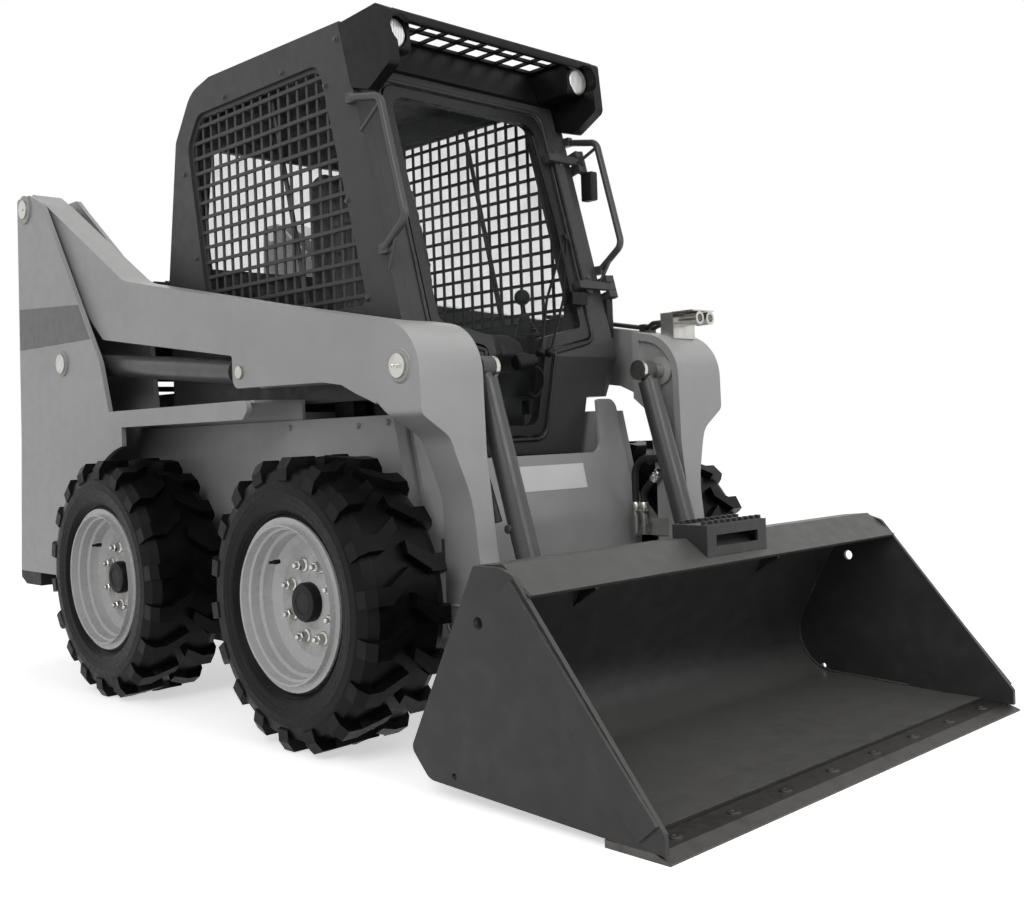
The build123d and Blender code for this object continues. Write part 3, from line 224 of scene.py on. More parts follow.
def tyre_rubber():
    """Carbon-black rubber moulded into tyres: nearly black and dull, with rings raised on the sidewalls."""
    material, tree, shader, place = new_material("moulded_rubber_tyre")
    cloud = {"Vector": place, "Detail": 3.0, "Roughness": 0.55}

    # Distance from the nearer axle
    parts = add_node(tree, "ShaderNodeSeparateXYZ", {"Vector": place}).outputs
    along = add_node(tree, "ShaderNodeMath", {0: parts["X"], 1: SHIFT_X}, operation="SUBTRACT")
    along = add_node(tree, "ShaderNodeMath", {0: along}, operation="ABSOLUTE")
    along = add_node(tree, "ShaderNodeMath", {0: along, 1: WHEELBASE / 2}, operation="SUBTRACT")
    up = add_node(tree, "ShaderNodeMath", {0: parts["Z"], 1: AXLE_Z}, operation="SUBTRACT")
    along_squared = add_node(tree, "ShaderNodeMath", {0: along, 1: along}, operation="MULTIPLY")
    up_squared = add_node(tree, "ShaderNodeMath", {0: up, 1: up}, operation="MULTIPLY")
    radius = add_node(tree, "ShaderNodeMath", {0: along_squared, 1: up_squared}, operation="ADD")
    radius = add_node(tree, "ShaderNodeMath", {0: radius}, operation="SQRT")

    # Sharp rings every 16 mm, which end where the lugs begin, 300 mm out
    rings = add_node(tree, "ShaderNodeMath", {0: radius, 1: 2 * math.pi / 0.016}, operation="MULTIPLY")
    rings = add_node(tree, "ShaderNodeMath", {0: rings}, operation="SINE")
    rings = add_node(tree, "ShaderNodeMapRange", {"Value": rings, "From Min": 0.6, "From Max": 0.9})
    sidewall = add_node(tree, "ShaderNodeMapRange", {"Value": radius, "From Min": 0.305, "From Max": 0.295})
    rings = add_node(tree, "ShaderNodeMath", {0: rings, 1: sidewall}, operation="MULTIPLY")

    grain = add_node(tree, "ShaderNodeTexNoise", {**cloud, "Scale": across(2.5), "Detail": 2.0})
    grain = add_node(tree, "ShaderNodeMath", {0: grain, 1: 0.2}, operation="MULTIPLY")
    height = add_node(tree, "ShaderNodeMath", {0: rings, 1: grain}, operation="ADD")
    dust = add_node(tree, "ShaderNodeTexNoise", {**cloud, "Scale": across(60), "Detail": 6.0})
    dust = {"Value": dust, "From Min": 0.42, "From Max": 0.72, "To Max": 0.55}
    dust = add_node(tree, "ShaderNodeMapRange", dust)
    dusted = {"Factor": dust, COLOUR_A: linear("#060606"), COLOUR_B: linear("#121212")}
    dull = add_node(tree, "ShaderNodeTexNoise", {**cloud, "Scale": across(14)})
    dull = {"Value": dull, "From Min": 0.3, "From Max": 0.7, "To Min": 0.32, "To Max": 0.5}
    relief = {"Height": height, "Distance": 0.0009, "Strength": 0.6}
    finish = {
        "Base Color": add_node(tree, "ShaderNodeMix", dusted, data_type="RGBA"),
        "Roughness": add_node(tree, "ShaderNodeMapRange", dull),
        "Specular IOR Level": 0.12,
        "Normal": add_node(tree, "ShaderNodeBump", relief),
    }
    wire(tree, shader, finish)
    return material


def braided_hose():
    """Woven textile cover of a hydraulic hose: matt black, with two crossing sets of strands.

    Real strands are 1 to 2 mm wide, and they are drawn 5.7 mm apart so that they show.
    """
    material, tree, shader, place = new_material("woven_hose_cover")
    cloud = {"Vector": place, "Detail": 3.0, "Roughness": 0.55}
    # A diagonal wave texture turns by 10 radians a unit
    strands = 2 * math.pi / 10 * across(5.712)
    turned_place = {"Vector": place, "Rotation": (0.0, math.pi / 2, 0.0)}
    sets = []
    for along in (place, add_node(tree, "ShaderNodeMapping", turned_place)):
        waves = {"Vector": along, "Scale": strands}
        sets.append(add_node(tree, "ShaderNodeTexWave", waves, bands_direction="DIAGONAL").outputs["Fac"])
    height = add_node(tree, "ShaderNodeMath", {0: sets[0], 1: sets[1]}, operation="MULTIPLY")
    # Gaps between strands darker than their crowns: painted shade in the weave
    shaded = {"Factor": height, COLOUR_A: linear("#0E0E0E"), COLOUR_B: linear("#262626")}
    matt = add_node(tree, "ShaderNodeTexNoise", {**cloud, "Scale": across(20)})
    matt = {"Value": matt, "From Min": 0.3, "From Max": 0.7, "To Min": 0.6, "To Max": 0.8}
    relief = {"Height": height, "Distance": 0.0005, "Strength": 0.7}
    finish = {
        "Base Color": add_node(tree, "ShaderNodeMix", shaded, data_type="RGBA"),
        "Roughness": add_node(tree, "ShaderNodeMapRange", matt),
        "Normal": add_node(tree, "ShaderNodeBump", relief),
    }
    wire(tree, shader, finish)
    return material


def embossed_vinyl():
    """Black vinyl embossed with a leather grain 2.4 mm across: soft highlights over broad creases."""
    material, tree, shader, place = new_material("embossed_vinyl_seat")
    cells = {"Vector": place, "Scale": across(2.381)}
    cells = add_node(tree, "ShaderNodeTexVoronoi", cells, feature="DISTANCE_TO_EDGE")
    creases = {"Vector": place, "Scale": across(60), "Detail": 4.0, "Roughness": 0.55}
    creases = add_node(tree, "ShaderNodeTexNoise", creases)
    height = add_node(tree, "ShaderNodeMath", {0: cells.outputs["Distance"], 1: creases}, operation="ADD")
    # Darker where the broad creases sink: painted shade in the creases
    shade = add_node(tree, "ShaderNodeMapRange", {"Value": creases, "From Min": 0.35, "From Max": 0.65})
    shaded = {"Factor": shade, COLOUR_A: linear("#101010"), COLOUR_B: linear("#1A1A1A")}
    satin = {"Value": creases, "From Min": 0.3, "From Max": 0.7, "To Min": 0.42, "To Max": 0.6}
    relief = {"Height": height, "Distance": 0.0005, "Strength": 0.35}
    finish = {
        "Base Color": add_node(tree, "ShaderNodeMix", shaded, data_type="RGBA"),
        "Roughness": add_node(tree, "ShaderNodeMapRange", satin),
        "Sheen Weight": 0.08,
        "Normal": add_node(tree, "ShaderNodeBump", relief),
    }
    wire(tree, shader, finish)
    return material


def toughened_glass():
    """Float glass, toughened: nearly clear, with a faint grey tint, clean reflections, smears and dust."""
    material, tree, shader, place = new_material("toughened_glass")
    cloud = {"Vector": place, "Detail": 5.0, "Roughness": 0.55}
    smears = add_node(tree, "ShaderNodeTexNoise", {**cloud, "Scale": across(180)})
    smears = {"Value": smears, "From Min": 0.45, "From Max": 0.75, "To Min": 0.02, "To Max": 0.14}
    dust = add_node(tree, "ShaderNodeTexNoise", {**cloud, "Scale": across(90)})
    dust = {"Value": dust, "From Min": 0.4, "From Max": 0.8, "To Min": 0.07, "To Max": 0.15}
    finish = {
        "Base Color": linear("#3C3F3F"),
        "IOR": 1.5,
        "Roughness": add_node(tree, "ShaderNodeMapRange", smears),
        "Alpha": add_node(tree, "ShaderNodeMapRange", dust),
    }
    wire(tree, shader, finish)
    return material


def lamp_lens():
    """Pressed glass over a bright reflector: pale and shiny, with painted highlights and shade on its ribs,
    5.7 mm apart.
    """
    material, tree, shader, place = new_material("pressed_glass_lamp")
    # A straight wave texture turns by 20 radians a unit
    ribs = {"Vector": place, "Scale": 2 * math.pi / 20 * across(5.712), "Distortion": 1.0}
    ribs = add_node(tree, "ShaderNodeTexWave", ribs, bands_direction="Y").outputs["Fac"]
    # Ribs alternate pale and dark in colour: painted highlights and shade of the ribbed glass
    rib_light_and_shade = {"Factor": ribs, COLOUR_A: linear("#E8E8E6"), COLOUR_B: linear("#A9A9A7")}
    smears = {"Vector": place, "Scale": across(30), "Detail": 3.0, "Roughness": 0.55}
    smears = add_node(tree, "ShaderNodeTexNoise", smears)
    smears = {"Value": smears, "From Min": 0.3, "From Max": 0.7, "To Min": 0.08, "To Max": 0.2}
    relief = {"Height": ribs, "Distance": 0.0008, "Strength": 0.5}
    finish = {
        "Base Color": add_node(tree, "ShaderNodeMix", rib_light_and_shade, data_type="RGBA"),
        "Metallic": 0.65,
        "Roughness": add_node(tree, "ShaderNodeMapRange", smears),
        "Coat Weight": 1.0,
        "Normal": add_node(tree, "ShaderNodeBump", relief),
    }
    wire(tree, shader, finish)
    return material


def moulded_plastic():
    """Black ABS moulded in a spark-eroded tool: fine grain softens its highlights, and it fades in patches.

    Real grain is a few tenths of a millimetre, and it is drawn 1.2 mm across so that it shows.
    """
    material, tree, shader, place = new_material("moulded_abs_black")
    cloud = {"Vector": place, "Detail": 3.0, "Roughness": 0.55}
    fade = add_node(tree, "ShaderNodeTexNoise", {**cloud, "Scale": across(120)})
    fade = add_node(tree, "ShaderNodeMapRange", {"Value": fade, "From Min": 0.35, "From Max": 0.7})
    faded = {"Factor": fade, COLOUR_A: linear("#070707"), COLOUR_B: toned("#070707", 1.5, 0.004)}
    satin = add_node(tree, "ShaderNodeTexNoise", {**cloud, "Scale": across(25)})
    satin = {"Value": satin, "From Min": 0.3, "From Max": 0.7, "To Min": 0.36, "To Max": 0.52}
    grain = add_node(tree, "ShaderNodeTexNoise", {**cloud, "Scale": across(1.2), "Detail": 1.0})
    relief = {"Height": grain, "Distance": 0.00012, "Strength": 0.3}
    finish = {
        "Base Color": add_node(tree, "ShaderNodeMix", faded, data_type="RGBA"),
        "Roughness": add_node(tree, "ShaderNodeMapRange", satin),
        "Specular IOR Level": 0.2,
        "Normal": add_node(tree, "ShaderNodeBump", relief),
    }
    wire(tree, shader, finish)
    return material


MATERIALS = {
    "tyre_rubber": tyre_rubber(),
    "wheel_paint": sprayed_enamel("sprayed_enamel_wheel", "#B4B4B4", "#7A7A7A", 0.24, dust_amount=0.05),
    "body_grey": sprayed_enamel(
        "sprayed_enamel_body", "#979797", "#747474", 0.34, "#CCCCCA", 0.08, dust_and_light_on_top=0.45
    ),
    "cab_grey": sprayed_enamel(
        "sprayed_enamel_cab", "#3C3C3C", "#666666", 0.42, dust_amount=0.03, shine=0.25, dust_and_light_on_top=0.1
    ),
    "attachment_grey": sprayed_enamel(
        "sprayed_enamel_bucket", "#303030", "#777777", 0.40, "#757472", 0.08, 0.25, 0.4
    ),
    "cylinder_grey": sprayed_enamel(
        "sprayed_enamel_cylinder", "#404040", "#747474", 0.3, dust_amount=0.03, shine=0.4
    ),
    "edge_steel": bare_steel("scoured_steel_edge", "#5C5A58", 0.38, 0.62, 1.5, (0.15, 1.0, 1.0)),
    "bright_steel": bare_steel("zinc_plated_steel", "#C9C8C4", 0.18, 0.34, 1.0),
    "rod_chrome": bare_steel("ground_chrome_rod", "#DCDCDC", 0.06, 0.13, 0.8),
    "cast_dark": sprayed_enamel(
        "sprayed_enamel_casting", "#1A1A1A", "#3A3A3A", 0.5, dust_amount=0.04, shine=0.25
    ),
    "black_plastic": moulded_plastic(),
    "clear_glass": toughened_glass(),
    "lamp_glass": lamp_lens(),
    "seat_vinyl": embossed_vinyl(),
    "hose_rubber": braided_hose(),
}
BRIGHT = MATERIALS["bright_steel"]
SEAL_RUBBER = extruded_rubber()
# The frame's enamel is the body's grey made darker: painted shade for the frame, which sits in shadow under
# the fenders
SHADED_FRAME_PAINT = sprayed_enamel("sprayed_enamel_frame_shaded", "#8E8E8E", "#707070", 0.4, dust_amount=0.12)
BLANK_LABEL = sprayed_enamel("screened_band_dark", "#565656", "#6C6C6C", 0.38, dust_amount=0.05)
PALE_LABEL = sprayed_enamel("screened_plate_pale", "#DEDEDE", "#A0A0A0", 0.38, dust_amount=0.05)
DARK_BOLT = sprayed_enamel("sprayed_enamel_bolt_dark", "#3A3A3A", "#6A6762", 0.4)
GREY_BOLT = sprayed_enamel("sprayed_enamel_bolt_grey", "#8E8E8E", "#6A6762", 0.4)

for part in record["subparts"]:
    cad_object = nodes[part["node"]]
    cad_object.data.materials.clear()
    cad_object.data.materials.append(MATERIALS[part["material_slot"]])
nodes["door_frame"].data.materials[0] = SEAL_RUBBER
nodes["main_frame"].data.materials[0] = SHADED_FRAME_PAINT


def finish_piece(mesh, name, material, body, smooth=True):
    """Makes an object of a bmesh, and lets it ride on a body."""
    data = bpy.data.meshes.new(name)
    mesh.to_mesh(data)
    mesh.free()
    data.materials.append(material)
    piece = bpy.data.objects.new(name, data)
    bpy.context.scene.collection.objects.link(piece)
    if smooth:
        for face in data.polygons:
            face.use_smooth = True
        data.set_sharp_from_angle(angle=math.radians(40))
    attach(piece, body)
    return piece


def turned(mesh, profile, centre, axis, segments=48):
    """Adds a turned form: (radius, height) pairs in metres along axis from centre."""
    axis = Vector(axis).normalized()
    turn = axis.to_track_quat("Z", "Y").to_matrix()
    rings = []
    for radius, height in profile:
        ring = []
        for i in range(segments):
            angle = 2 * math.pi * i / segments
            local = Vector((radius * math.cos(angle), radius * math.sin(angle), height))
            ring.append(mesh.verts.new(Vector(centre) + turn @ local))
        rings.append(ring)
    for low, high in zip(rings, rings[1:]):
        for i in range(segments):
            j = (i + 1) % segments
            mesh.faces.new((low[i], low[j], high[j], high[i]))
    mesh.faces.new(rings[0][::-1])
    mesh.faces.new(rings[-1])


def bolt(mesh, place, axis, size):
    """Adds a hexagon head with a chamfered top, on a washer. size is the bolt's shank in metres."""
    washer = [(size * 1.15, 0.0), (size * 1.15, size * 0.16), (size * 1.05, size * 0.2)]
    head = [(size * 0.86, size * 0.18), (size * 0.86, size * 0.7), (size * 0.7, size * 0.8)]
    turned(mesh, washer, place, axis, 20)
    turned(mesh, head, place, axis, 6)


# Wheels: nuts with their studs, black hub cap and valve
NUTS = 8
NUT_CIRCLE = 0.102
NUT_WASHER = [(0.019, 0.0), (0.019, 0.004), (0.0165, 0.006)]
NUT = [(0.0145, 0.005), (0.0145, 0.02), (0.012, 0.023)]
STUD = [(0.0075, 0.02), (0.0075, 0.032), (0.006, 0.034)]
HUB_CAP = [(0.052, 0.011), (0.052, 0.03), (0.048, 0.037), (0.03, 0.0395), (0.028, 0.0375), (0.004, 0.0375)]
VALVE = [(0.006, 0.0), (0.006, 0.018), (0.004, 0.02), (0.004, 0.03)]
VALVE_CIRCLE = 0.15
VALVE_ANGLE = 2.4
VALVE_OUT = 0.03
for end, axle_x in AXLES.items():
    for side, sign in SIDES.items():
        body = f"wheel_{end}_{side}"
        hub = Vector((axle_x, sign * DISC_Y, AXLE_Z))
        outwards = (0, sign, 0)
        mesh = bmesh.new()
        for i in range(NUTS):
            angle = 2 * math.pi * (i + 0.5) / NUTS
            place = hub + NUT_CIRCLE * Vector((math.cos(angle), 0, math.sin(angle)))
            turned(mesh, NUT_WASHER, place, outwards, 24)
            turned(mesh, NUT, place, outwards, 6)
            turned(mesh, STUD, place, outwards, 16)
        finish_piece(mesh, f"wheel_nuts_{end}_{side}", BRIGHT, body)
        mesh = bmesh.new()
        turned(mesh, HUB_CAP, hub, outwards)
        finish_piece(mesh, f"hub_cap_{end}_{side}", MATERIALS["black_plastic"], body)
        mesh = bmesh.new()
        across_rim = Vector((math.cos(VALVE_ANGLE), 0, math.sin(VALVE_ANGLE)))
        valve = hub + VALVE_CIRCLE * across_rim + Vector((0, sign * VALVE_OUT, 0))
        turned(mesh, VALVE, valve, outwards, 16)
        finish_piece(mesh, f"valve_{end}_{side}", MATERIALS["black_plastic"], body)


def at(x, y, z):
    """A place in the frame, from the part's millimetres before it was centred."""
    return Vector((x / 1000 + SHIFT_X, y / 1000, z / 1000))


def surface(node, start, direction):
    """Where a ray from start meets a CAD node, and the outward normal there."""
    cad_object = nodes[node]
    to_local = cad_object.matrix_world.inverted()
    ray = (to_local.to_3x3() @ Vector(direction)).normalized()
    found, place, normal, _ = cad_object.ray_cast(to_local @ Vector(start), ray)
    if not found:
        raise ValueError(f"no surface of {node} from {tuple(start)}")
    return cad_object.matrix_world @ place, (cad_object.matrix_world.to_3x3() @ normal).normalized()


BEND_STEPS = 6


def rounded_route(points, radius, closed=False):
    """Points of a bent bar: straight runs joined by smooth bends."""
    count = len(points)
    route = []
    for i, point in enumerate(points):
        if not closed and i in (0, count - 1):
            route.append(Vector(point))
            continue
        corner = Vector(point)
        before = Vector(points[i - 1]) - corner
        after = Vector(points[(i + 1) % count]) - corner
        back = min(radius, before.length * 0.45, after.length * 0.45)
        start = corner + before.normalized() * back
        end = corner + after.normalized() * back
        for k in range(BEND_STEPS + 1):
            t = k / BEND_STEPS
            route.append(start.lerp(corner, t).lerp(corner.lerp(end, t), t))
    return route


def tube(mesh, points, radii, segments, closed=False):
    """Adds a round bar through points; radii is one radius, or one for each point."""
    points = [Vector(p) for p in points]
    count = len(points)
    if not isinstance(radii, list):
        radii = [radii] * count
    side = None
    rings = []
    for i, point in enumerate(points):
        before = points[i - 1] if closed or i > 0 else point
        after = points[(i + 1) % count] if closed or i < count - 1 else point
        along = (after - before).normalized()
        side = (side or along.orthogonal()).normalized()
        side = (side - side.dot(along) * along).normalized()
        other = along.cross(side)
        ring = []
        for k in range(segments):
            angle = 2 * math.pi * k / segments
            spoke = math.cos(angle) * side + math.sin(angle) * other
            ring.append(mesh.verts.new(point + radii[i] * spoke))
        rings.append(ring)
    pairs = list(zip(rings, rings[1:])) + ([(rings[-1], rings[0])] if closed else [])
    for low, high in pairs:
        for k in range(segments):
            j = (k + 1) % segments
            mesh.faces.new((low[k], low[j], high[j], high[k]))
    if not closed:
        mesh.faces.new(rings[0][::-1])
        mesh.faces.new(rings[-1])


# Weld beads: length and height of a ripple, how uneven ripples are, and the draws that make them so
WELD_STEP = 0.004
WELD_RIPPLE = 0.16
WELD_UNEVEN = 0.08
weld_random = random.Random(7)


def weld_bead(mesh, corners, radius, closed=False):
    """Adds a weld bead along straight runs between corners, its ripples a little uneven."""
    points = []
    ends = corners[1:] + (corners[:1] if closed else [])
    for start, end in zip(corners, ends):
        steps = max(1, round((Vector(end) - Vector(start)).length / WELD_STEP))
        points += [Vector(start).lerp(Vector(end), k / steps) for k in range(steps)]
    if not closed:
        points.append(Vector(corners[-1]))
    radii = []
    for i in range(len(points)):
        uneven = weld_random.uniform(-WELD_UNEVEN, WELD_UNEVEN)
        radii.append(radius * (1 + WELD_RIPPLE * (i % 2) + uneven))
    tube(mesh, points, radii, 6, closed)


WELD_CIRCLE_POINTS = 40


def ring_points(centre, radius):
    """Points of a circle round the Y direction."""
    turns = [2 * math.pi * i / WELD_CIRCLE_POINTS for i in range(WELD_CIRCLE_POINTS)]
    return [Vector(centre) + radius * Vector((math.cos(a), 0, math.sin(a))) for a in turns]


PLATE_COLUMNS = 10
PLATE_ROWS = 4
PLATE_THICK = 0.0008


def blank_plate(name, node, corners, direction, material, body):
    """A thin plate laid on a CAD node: corners, in order round it, are cast along direction."""
    mesh = bmesh.new()
    top = []
    for row in range(PLATE_ROWS + 1):
        left_end = Vector(corners[0]).lerp(Vector(corners[3]), row / PLATE_ROWS)
        right_end = Vector(corners[1]).lerp(Vector(corners[2]), row / PLATE_ROWS)
        line = []
        for column in range(PLATE_COLUMNS + 1):
            place, normal = surface(node, left_end.lerp(right_end, column / PLATE_COLUMNS), direction)
            line.append(mesh.verts.new(place + PLATE_THICK * normal))
        top.append(line)
    for low, high in zip(top, top[1:]):
        for k in range(PLATE_COLUMNS):
            mesh.faces.new((low[k], low[k + 1], high[k + 1], high[k]))
    rim = bmesh.ops.extrude_edge_only(mesh, edges=[e for e in mesh.edges if e.is_boundary])
    sunk = Vector(direction).normalized() * PLATE_THICK * 1.5
    bmesh.ops.translate(mesh, vec=sunk, verts=[v for v in rim["geom"] if isinstance(v, bmesh.types.BMVert)])
    bmesh.ops.recalc_face_normals(mesh, faces=mesh.faces)
    piece = finish_piece(mesh, name, material, body, smooth=False)
    facing = sum((polygon.normal for polygon in piece.data.polygons), Vector()).dot(Vector(direction))
    if facing > 0:
        piece.data.flip_normals()


# Front of the cab in mm before centring: lean of the glass, fold, roof edge, and lean of the foot
FRONT_LEAN = 0.27
FOLD_Z = 1033
FOLD_X = 654.3
ROOF_EDGE_X = 404
ROOF_EDGE_Z = 1960
FOOT_LEAN = 60 / 294


def face_x(z):
    """Front face of the cab at height z in mm, before centring: leaned glass line, then the folded foot."""
    if z >= FOLD_Z:
        return ROOF_EDGE_X + (ROOF_EDGE_Z - z) * FRONT_LEAN
    return FOLD_X - (FOLD_Z - z) * FOOT_LEAN


def on_face(y, z, ahead):
    """A place ahead of the cab's front face, all in mm before centring."""
    return at(face_x(z) + ahead, y, z)


# Blank bands on the uprights, by x and z in mm, and blank plate on the nose, by y and z
CLEAR_OF_SIDES = 900
CLEAR_OF_NOSE = 1200
BAND = [(-1397, 1339), (-893, 1307), (-808, 1180), (-1406, 1185)]
PLATE = [(-63, 706), (218, 706), (218, 632), (-63, 632)]
for side, sign in SIDES.items():
    outwards = Vector((0, sign, 0))
    corners = [at(x, sign * CLEAR_OF_SIDES, z) for x, z in BAND]
    name = f"upright_band_{side}"
    blank_plate(name, f"upright_{side}", corners, -outwards, BLANK_LABEL, "chassis")
nose_corners = [at(CLEAR_OF_NOSE, y, z) for y, z in PLATE]
blank_plate("nose_label", "nose_plate", nose_corners, (-1, 0, 0), PALE_LABEL, "chassis")

# Bolts of the cab sides and chain cases, by x and z in mm
CAB_BOLTS = [(380, 1938), (-228, 1914), (103, 1911), (321, 1820)]
CAB_BOLTS += [(407, 1477), (485, 1193), (-498, 1714), (-440, 1425)]
CAB_BOLT_SIZE = 0.008
CASE_BOLTS = [(142, 843), (478, 840), (612, 846)]
CASE_BOLT_SIZE = 0.009
for side, sign in SIDES.items():
    inwards = (0, -sign, 0)
    outwards = (0, sign, 0)
    mesh = bmesh.new()
    for x, z in CAB_BOLTS:
        place, _ = surface(f"cab_side_{side}", at(x, sign * CLEAR_OF_SIDES, z), inwards)
        bolt(mesh, place, outwards, CAB_BOLT_SIZE)
    finish_piece(mesh, f"cab_bolts_{side}", DARK_BOLT, "chassis")
    mesh = bmesh.new()
    for x, z in CASE_BOLTS:
        place, _ = surface("main_frame", at(x, sign * CLEAR_OF_SIDES, z), inwards)
        bolt(mesh, place, outwards, CASE_BOLT_SIZE)
    finish_piece(mesh, f"case_bolts_{side}", GREY_BOLT, "chassis")

# Rubber seal round the door opening, bent where the cab's face folds
SEAL_OUT = 7.0
SEAL_AHEAD = 1
SEAL_BEND = 0.045
SEAL_RADIUS = 0.0065
seal_half = [(136, 790), (136, 1050), (327, 1090), (327, 1826)]
opening_top = max(z for _, z in seal_half)
seal_line = [(y + SEAL_OUT, z + (SEAL_OUT if z == opening_top else -SEAL_OUT)) for y, z in seal_half]
seal_line += [(-y, z) for y, z in seal_line[::-1]]
split = []
for (y_a, z_a), (y_b, z_b) in zip(seal_line, seal_line[1:] + seal_line[:1]):
    split.append(on_face(y_a, z_a, SEAL_AHEAD))
    if (z_a - FOLD_Z) * (z_b - FOLD_Z) < 0:
        share = (FOLD_Z - z_a) / (z_b - z_a)
        split.append(on_face(y_a + share * (y_b - y_a), FOLD_Z, SEAL_AHEAD))
mesh = bmesh.new()
tube(mesh, rounded_route(split, SEAL_BEND, closed=True), SEAL_RADIUS, 10, closed=True)
finish_piece(mesh, "door_seal", SEAL_RUBBER, "chassis")

# Plough bolts along the cutting edge
EDGE_BOLTS = 8
EDGE_BOLTS_WIDTH = 1330
EDGE_BOLT = [(0.015, -0.001), (0.0145, 0.002), (0.011, 0.0035), (0.006, 0.0035), (0.0055, 0.0025)]
mesh = bmesh.new()
for i in range(EDGE_BOLTS):
    y = EDGE_BOLTS_WIDTH * (i / (EDGE_BOLTS - 1) - 0.5)
    place, normal = surface("cutting_edge", at(1700, y, 300), (0, 0, -1))
    turned(mesh, EDGE_BOLT, place, normal, 24)
finish_piece(mesh, "edge_bolts", MATERIALS["edge_steel"], "bucket")

# Ferrules crimped on the hose ends: x and z in mm of each end, and of a place along the hose
HOSE_Y = 385
FERRULE = [(0.0125, 0.0), (0.0145, 0.003), (0.0145, 0.012), (0.0125, 0.014), (0.0125, 0.017)]
FERRULE += [(0.0145, 0.019), (0.0145, 0.034), (0.0125, 0.038)]
FERRULES = [
    ((748, 540), (748, 600)),
    ((780, 540), (780, 600)),
    ((938, 580), (914, 646)),
    ((846, 672), (812, 640)),
]
mesh = bmesh.new()
for (x, z), (x_in, z_in) in FERRULES:
    end = at(x, HOSE_Y, z)
    along = at(x_in, HOSE_Y, z_in) - end
    turned(mesh, FERRULE, end, along, 24)
finish_piece(mesh, "hose_ferrules", BRIGHT, "lift_arms")

# Struts that brace the grab handles from the cab's corner posts
POST_Y = 424
HANDLE_Y = 438
STRUT_RADIUS = 0.0055
for side, sign in SIDES.items():
    mesh = bmesh.new()
    top_post = on_face(sign * POST_Y, 1660, -4)
    low_post = at(face_x(1270) - 4, sign * POST_Y, 1262)
    tube(mesh, [top_post, at(592, sign * HANDLE_Y, 1716)], STRUT_RADIUS, 10)
    tube(mesh, [low_post, at(640, sign * HANDLE_Y, 1362)], STRUT_RADIUS, 10)
    finish_piece(mesh, f"handle_struts_{side}", MATERIALS["cylinder_grey"], "chassis")

# Rubber boots at the foot of the levers: a flange, then narrowing folds
BOOT_FOLDS = 6
FOLD_PITCH = 0.011
BOOT = [(0.046, 0.0), (0.046, 0.006)]
for i in range(BOOT_FOLDS):
    fold_height = 0.008 + i * FOLD_PITCH
    fold_radius = 0.040 - i * 0.0045
    BOOT += [(fold_radius, fold_height), (fold_radius, fold_height + 0.004)]
    BOOT += [(fold_radius - 0.005, fold_height + 0.008)]
BOOT += [(0.011, 0.078)]
for side, sign in SIDES.items():
    mesh = bmesh.new()
    turned(mesh, BOOT, at(380, sign * 300, 1118), (0.04, -sign * 0.18, 1), 32)
    finish_piece(mesh, f"lever_boot_{side}", SEAL_RUBBER, "chassis")


RIM_SEGMENTS = 64


def ring_solid(mesh, profile, centre, axis):
    """Adds a closed ring turned about axis: profile is a loop of (radius, height) pairs."""
    axis = Vector(axis).normalized()
    turn = axis.to_track_quat("Z", "Y").to_matrix()
    loops = []
    for i in range(RIM_SEGMENTS):
        angle = 2 * math.pi * i / RIM_SEGMENTS
        loop = []
        for radius, height in profile:
            local = Vector((radius * math.cos(angle), radius * math.sin(angle), height))
            loop.append(mesh.verts.new(Vector(centre) + turn @ local))
        loops.append(loop)
    count = len(profile)
    for i in range(RIM_SEGMENTS):
        low = loops[i]
        high = loops[(i + 1) % RIM_SEGMENTS]
        for k in range(count):
            j = (k + 1) % count
            mesh.faces.new((low[k], high[k], high[j], low[j]))
    bmesh.ops.recalc_face_normals(mesh, faces=mesh.faces)


def soft_box(mesh, low, high):
    """Adds a box between two corners, its edges rounded by 6 mm."""
    low = Vector(low)
    high = Vector(high)
    made = bmesh.ops.create_cube(mesh, size=1.0)["verts"]
    for vert in made:
        vert.co = Vector((low[i] + (vert.co[i] + 0.5) * (high[i] - low[i]) for i in range(3)))
    edges = list({edge for vert in made for edge in vert.link_edges})
    bmesh.ops.bevel(mesh, geom=edges, offset=0.006, segments=3, affect="EDGES", profile=0.5)


# Stepped rings inside each rim, down to the disc: (radius, height) pairs in metres
RIM_STEPS = [
    (0.2075, 0.096),
    (0.2030, 0.094),
    (0.2000, 0.074),
    (0.1935, 0.070),
    (0.1915, 0.046),
    (0.1830, 0.040),
    (0.1780, 0.014),
    (0.1700, 0.002),
    (0.2075, 0.002),
]
for end, axle_x in AXLES.items():
    for side, sign in SIDES.items():
        mesh = bmesh.new()
        ring_solid(mesh, RIM_STEPS, (axle_x, sign * DISC_Y, AXLE_Z), (0, sign, 0))
        body = f"wheel_{end}_{side}"
        finish_piece(mesh, f"rim_steps_{end}_{side}", MATERIALS["wheel_paint"], body)

# Hinge bar on the door, a flat strap with round ends, and the two boxes that carry its hinges. All in mm.
BAR_LOW_Z = 1236
BAR_TOP_Z = 1712
BAR_Y = 352
BAR_HALF = 21
BAR_FRONT = 22
BAR_BACK = 13
mesh = bmesh.new()
outline_points = []
for centre_z, start in ((BAR_TOP_Z - BAR_HALF, 0), (BAR_LOW_Z + BAR_HALF, 180)):
    for k in range(13):
        angle = math.radians(start + k * 15)
        outline_points.append((BAR_Y + BAR_HALF * math.cos(angle), centre_z + BAR_HALF * math.sin(angle)))
front_ring = [mesh.verts.new(on_face(y, z, BAR_FRONT)) for y, z in outline_points]
back_ring = [mesh.verts.new(on_face(y, z, BAR_BACK)) for y, z in outline_points]
mesh.faces.new(front_ring)
mesh.faces.new(back_ring[::-1])
for k in range(len(front_ring)):
    j = (k + 1) % len(front_ring)
    mesh.faces.new((front_ring[k], back_ring[k], back_ring[j], front_ring[j]))
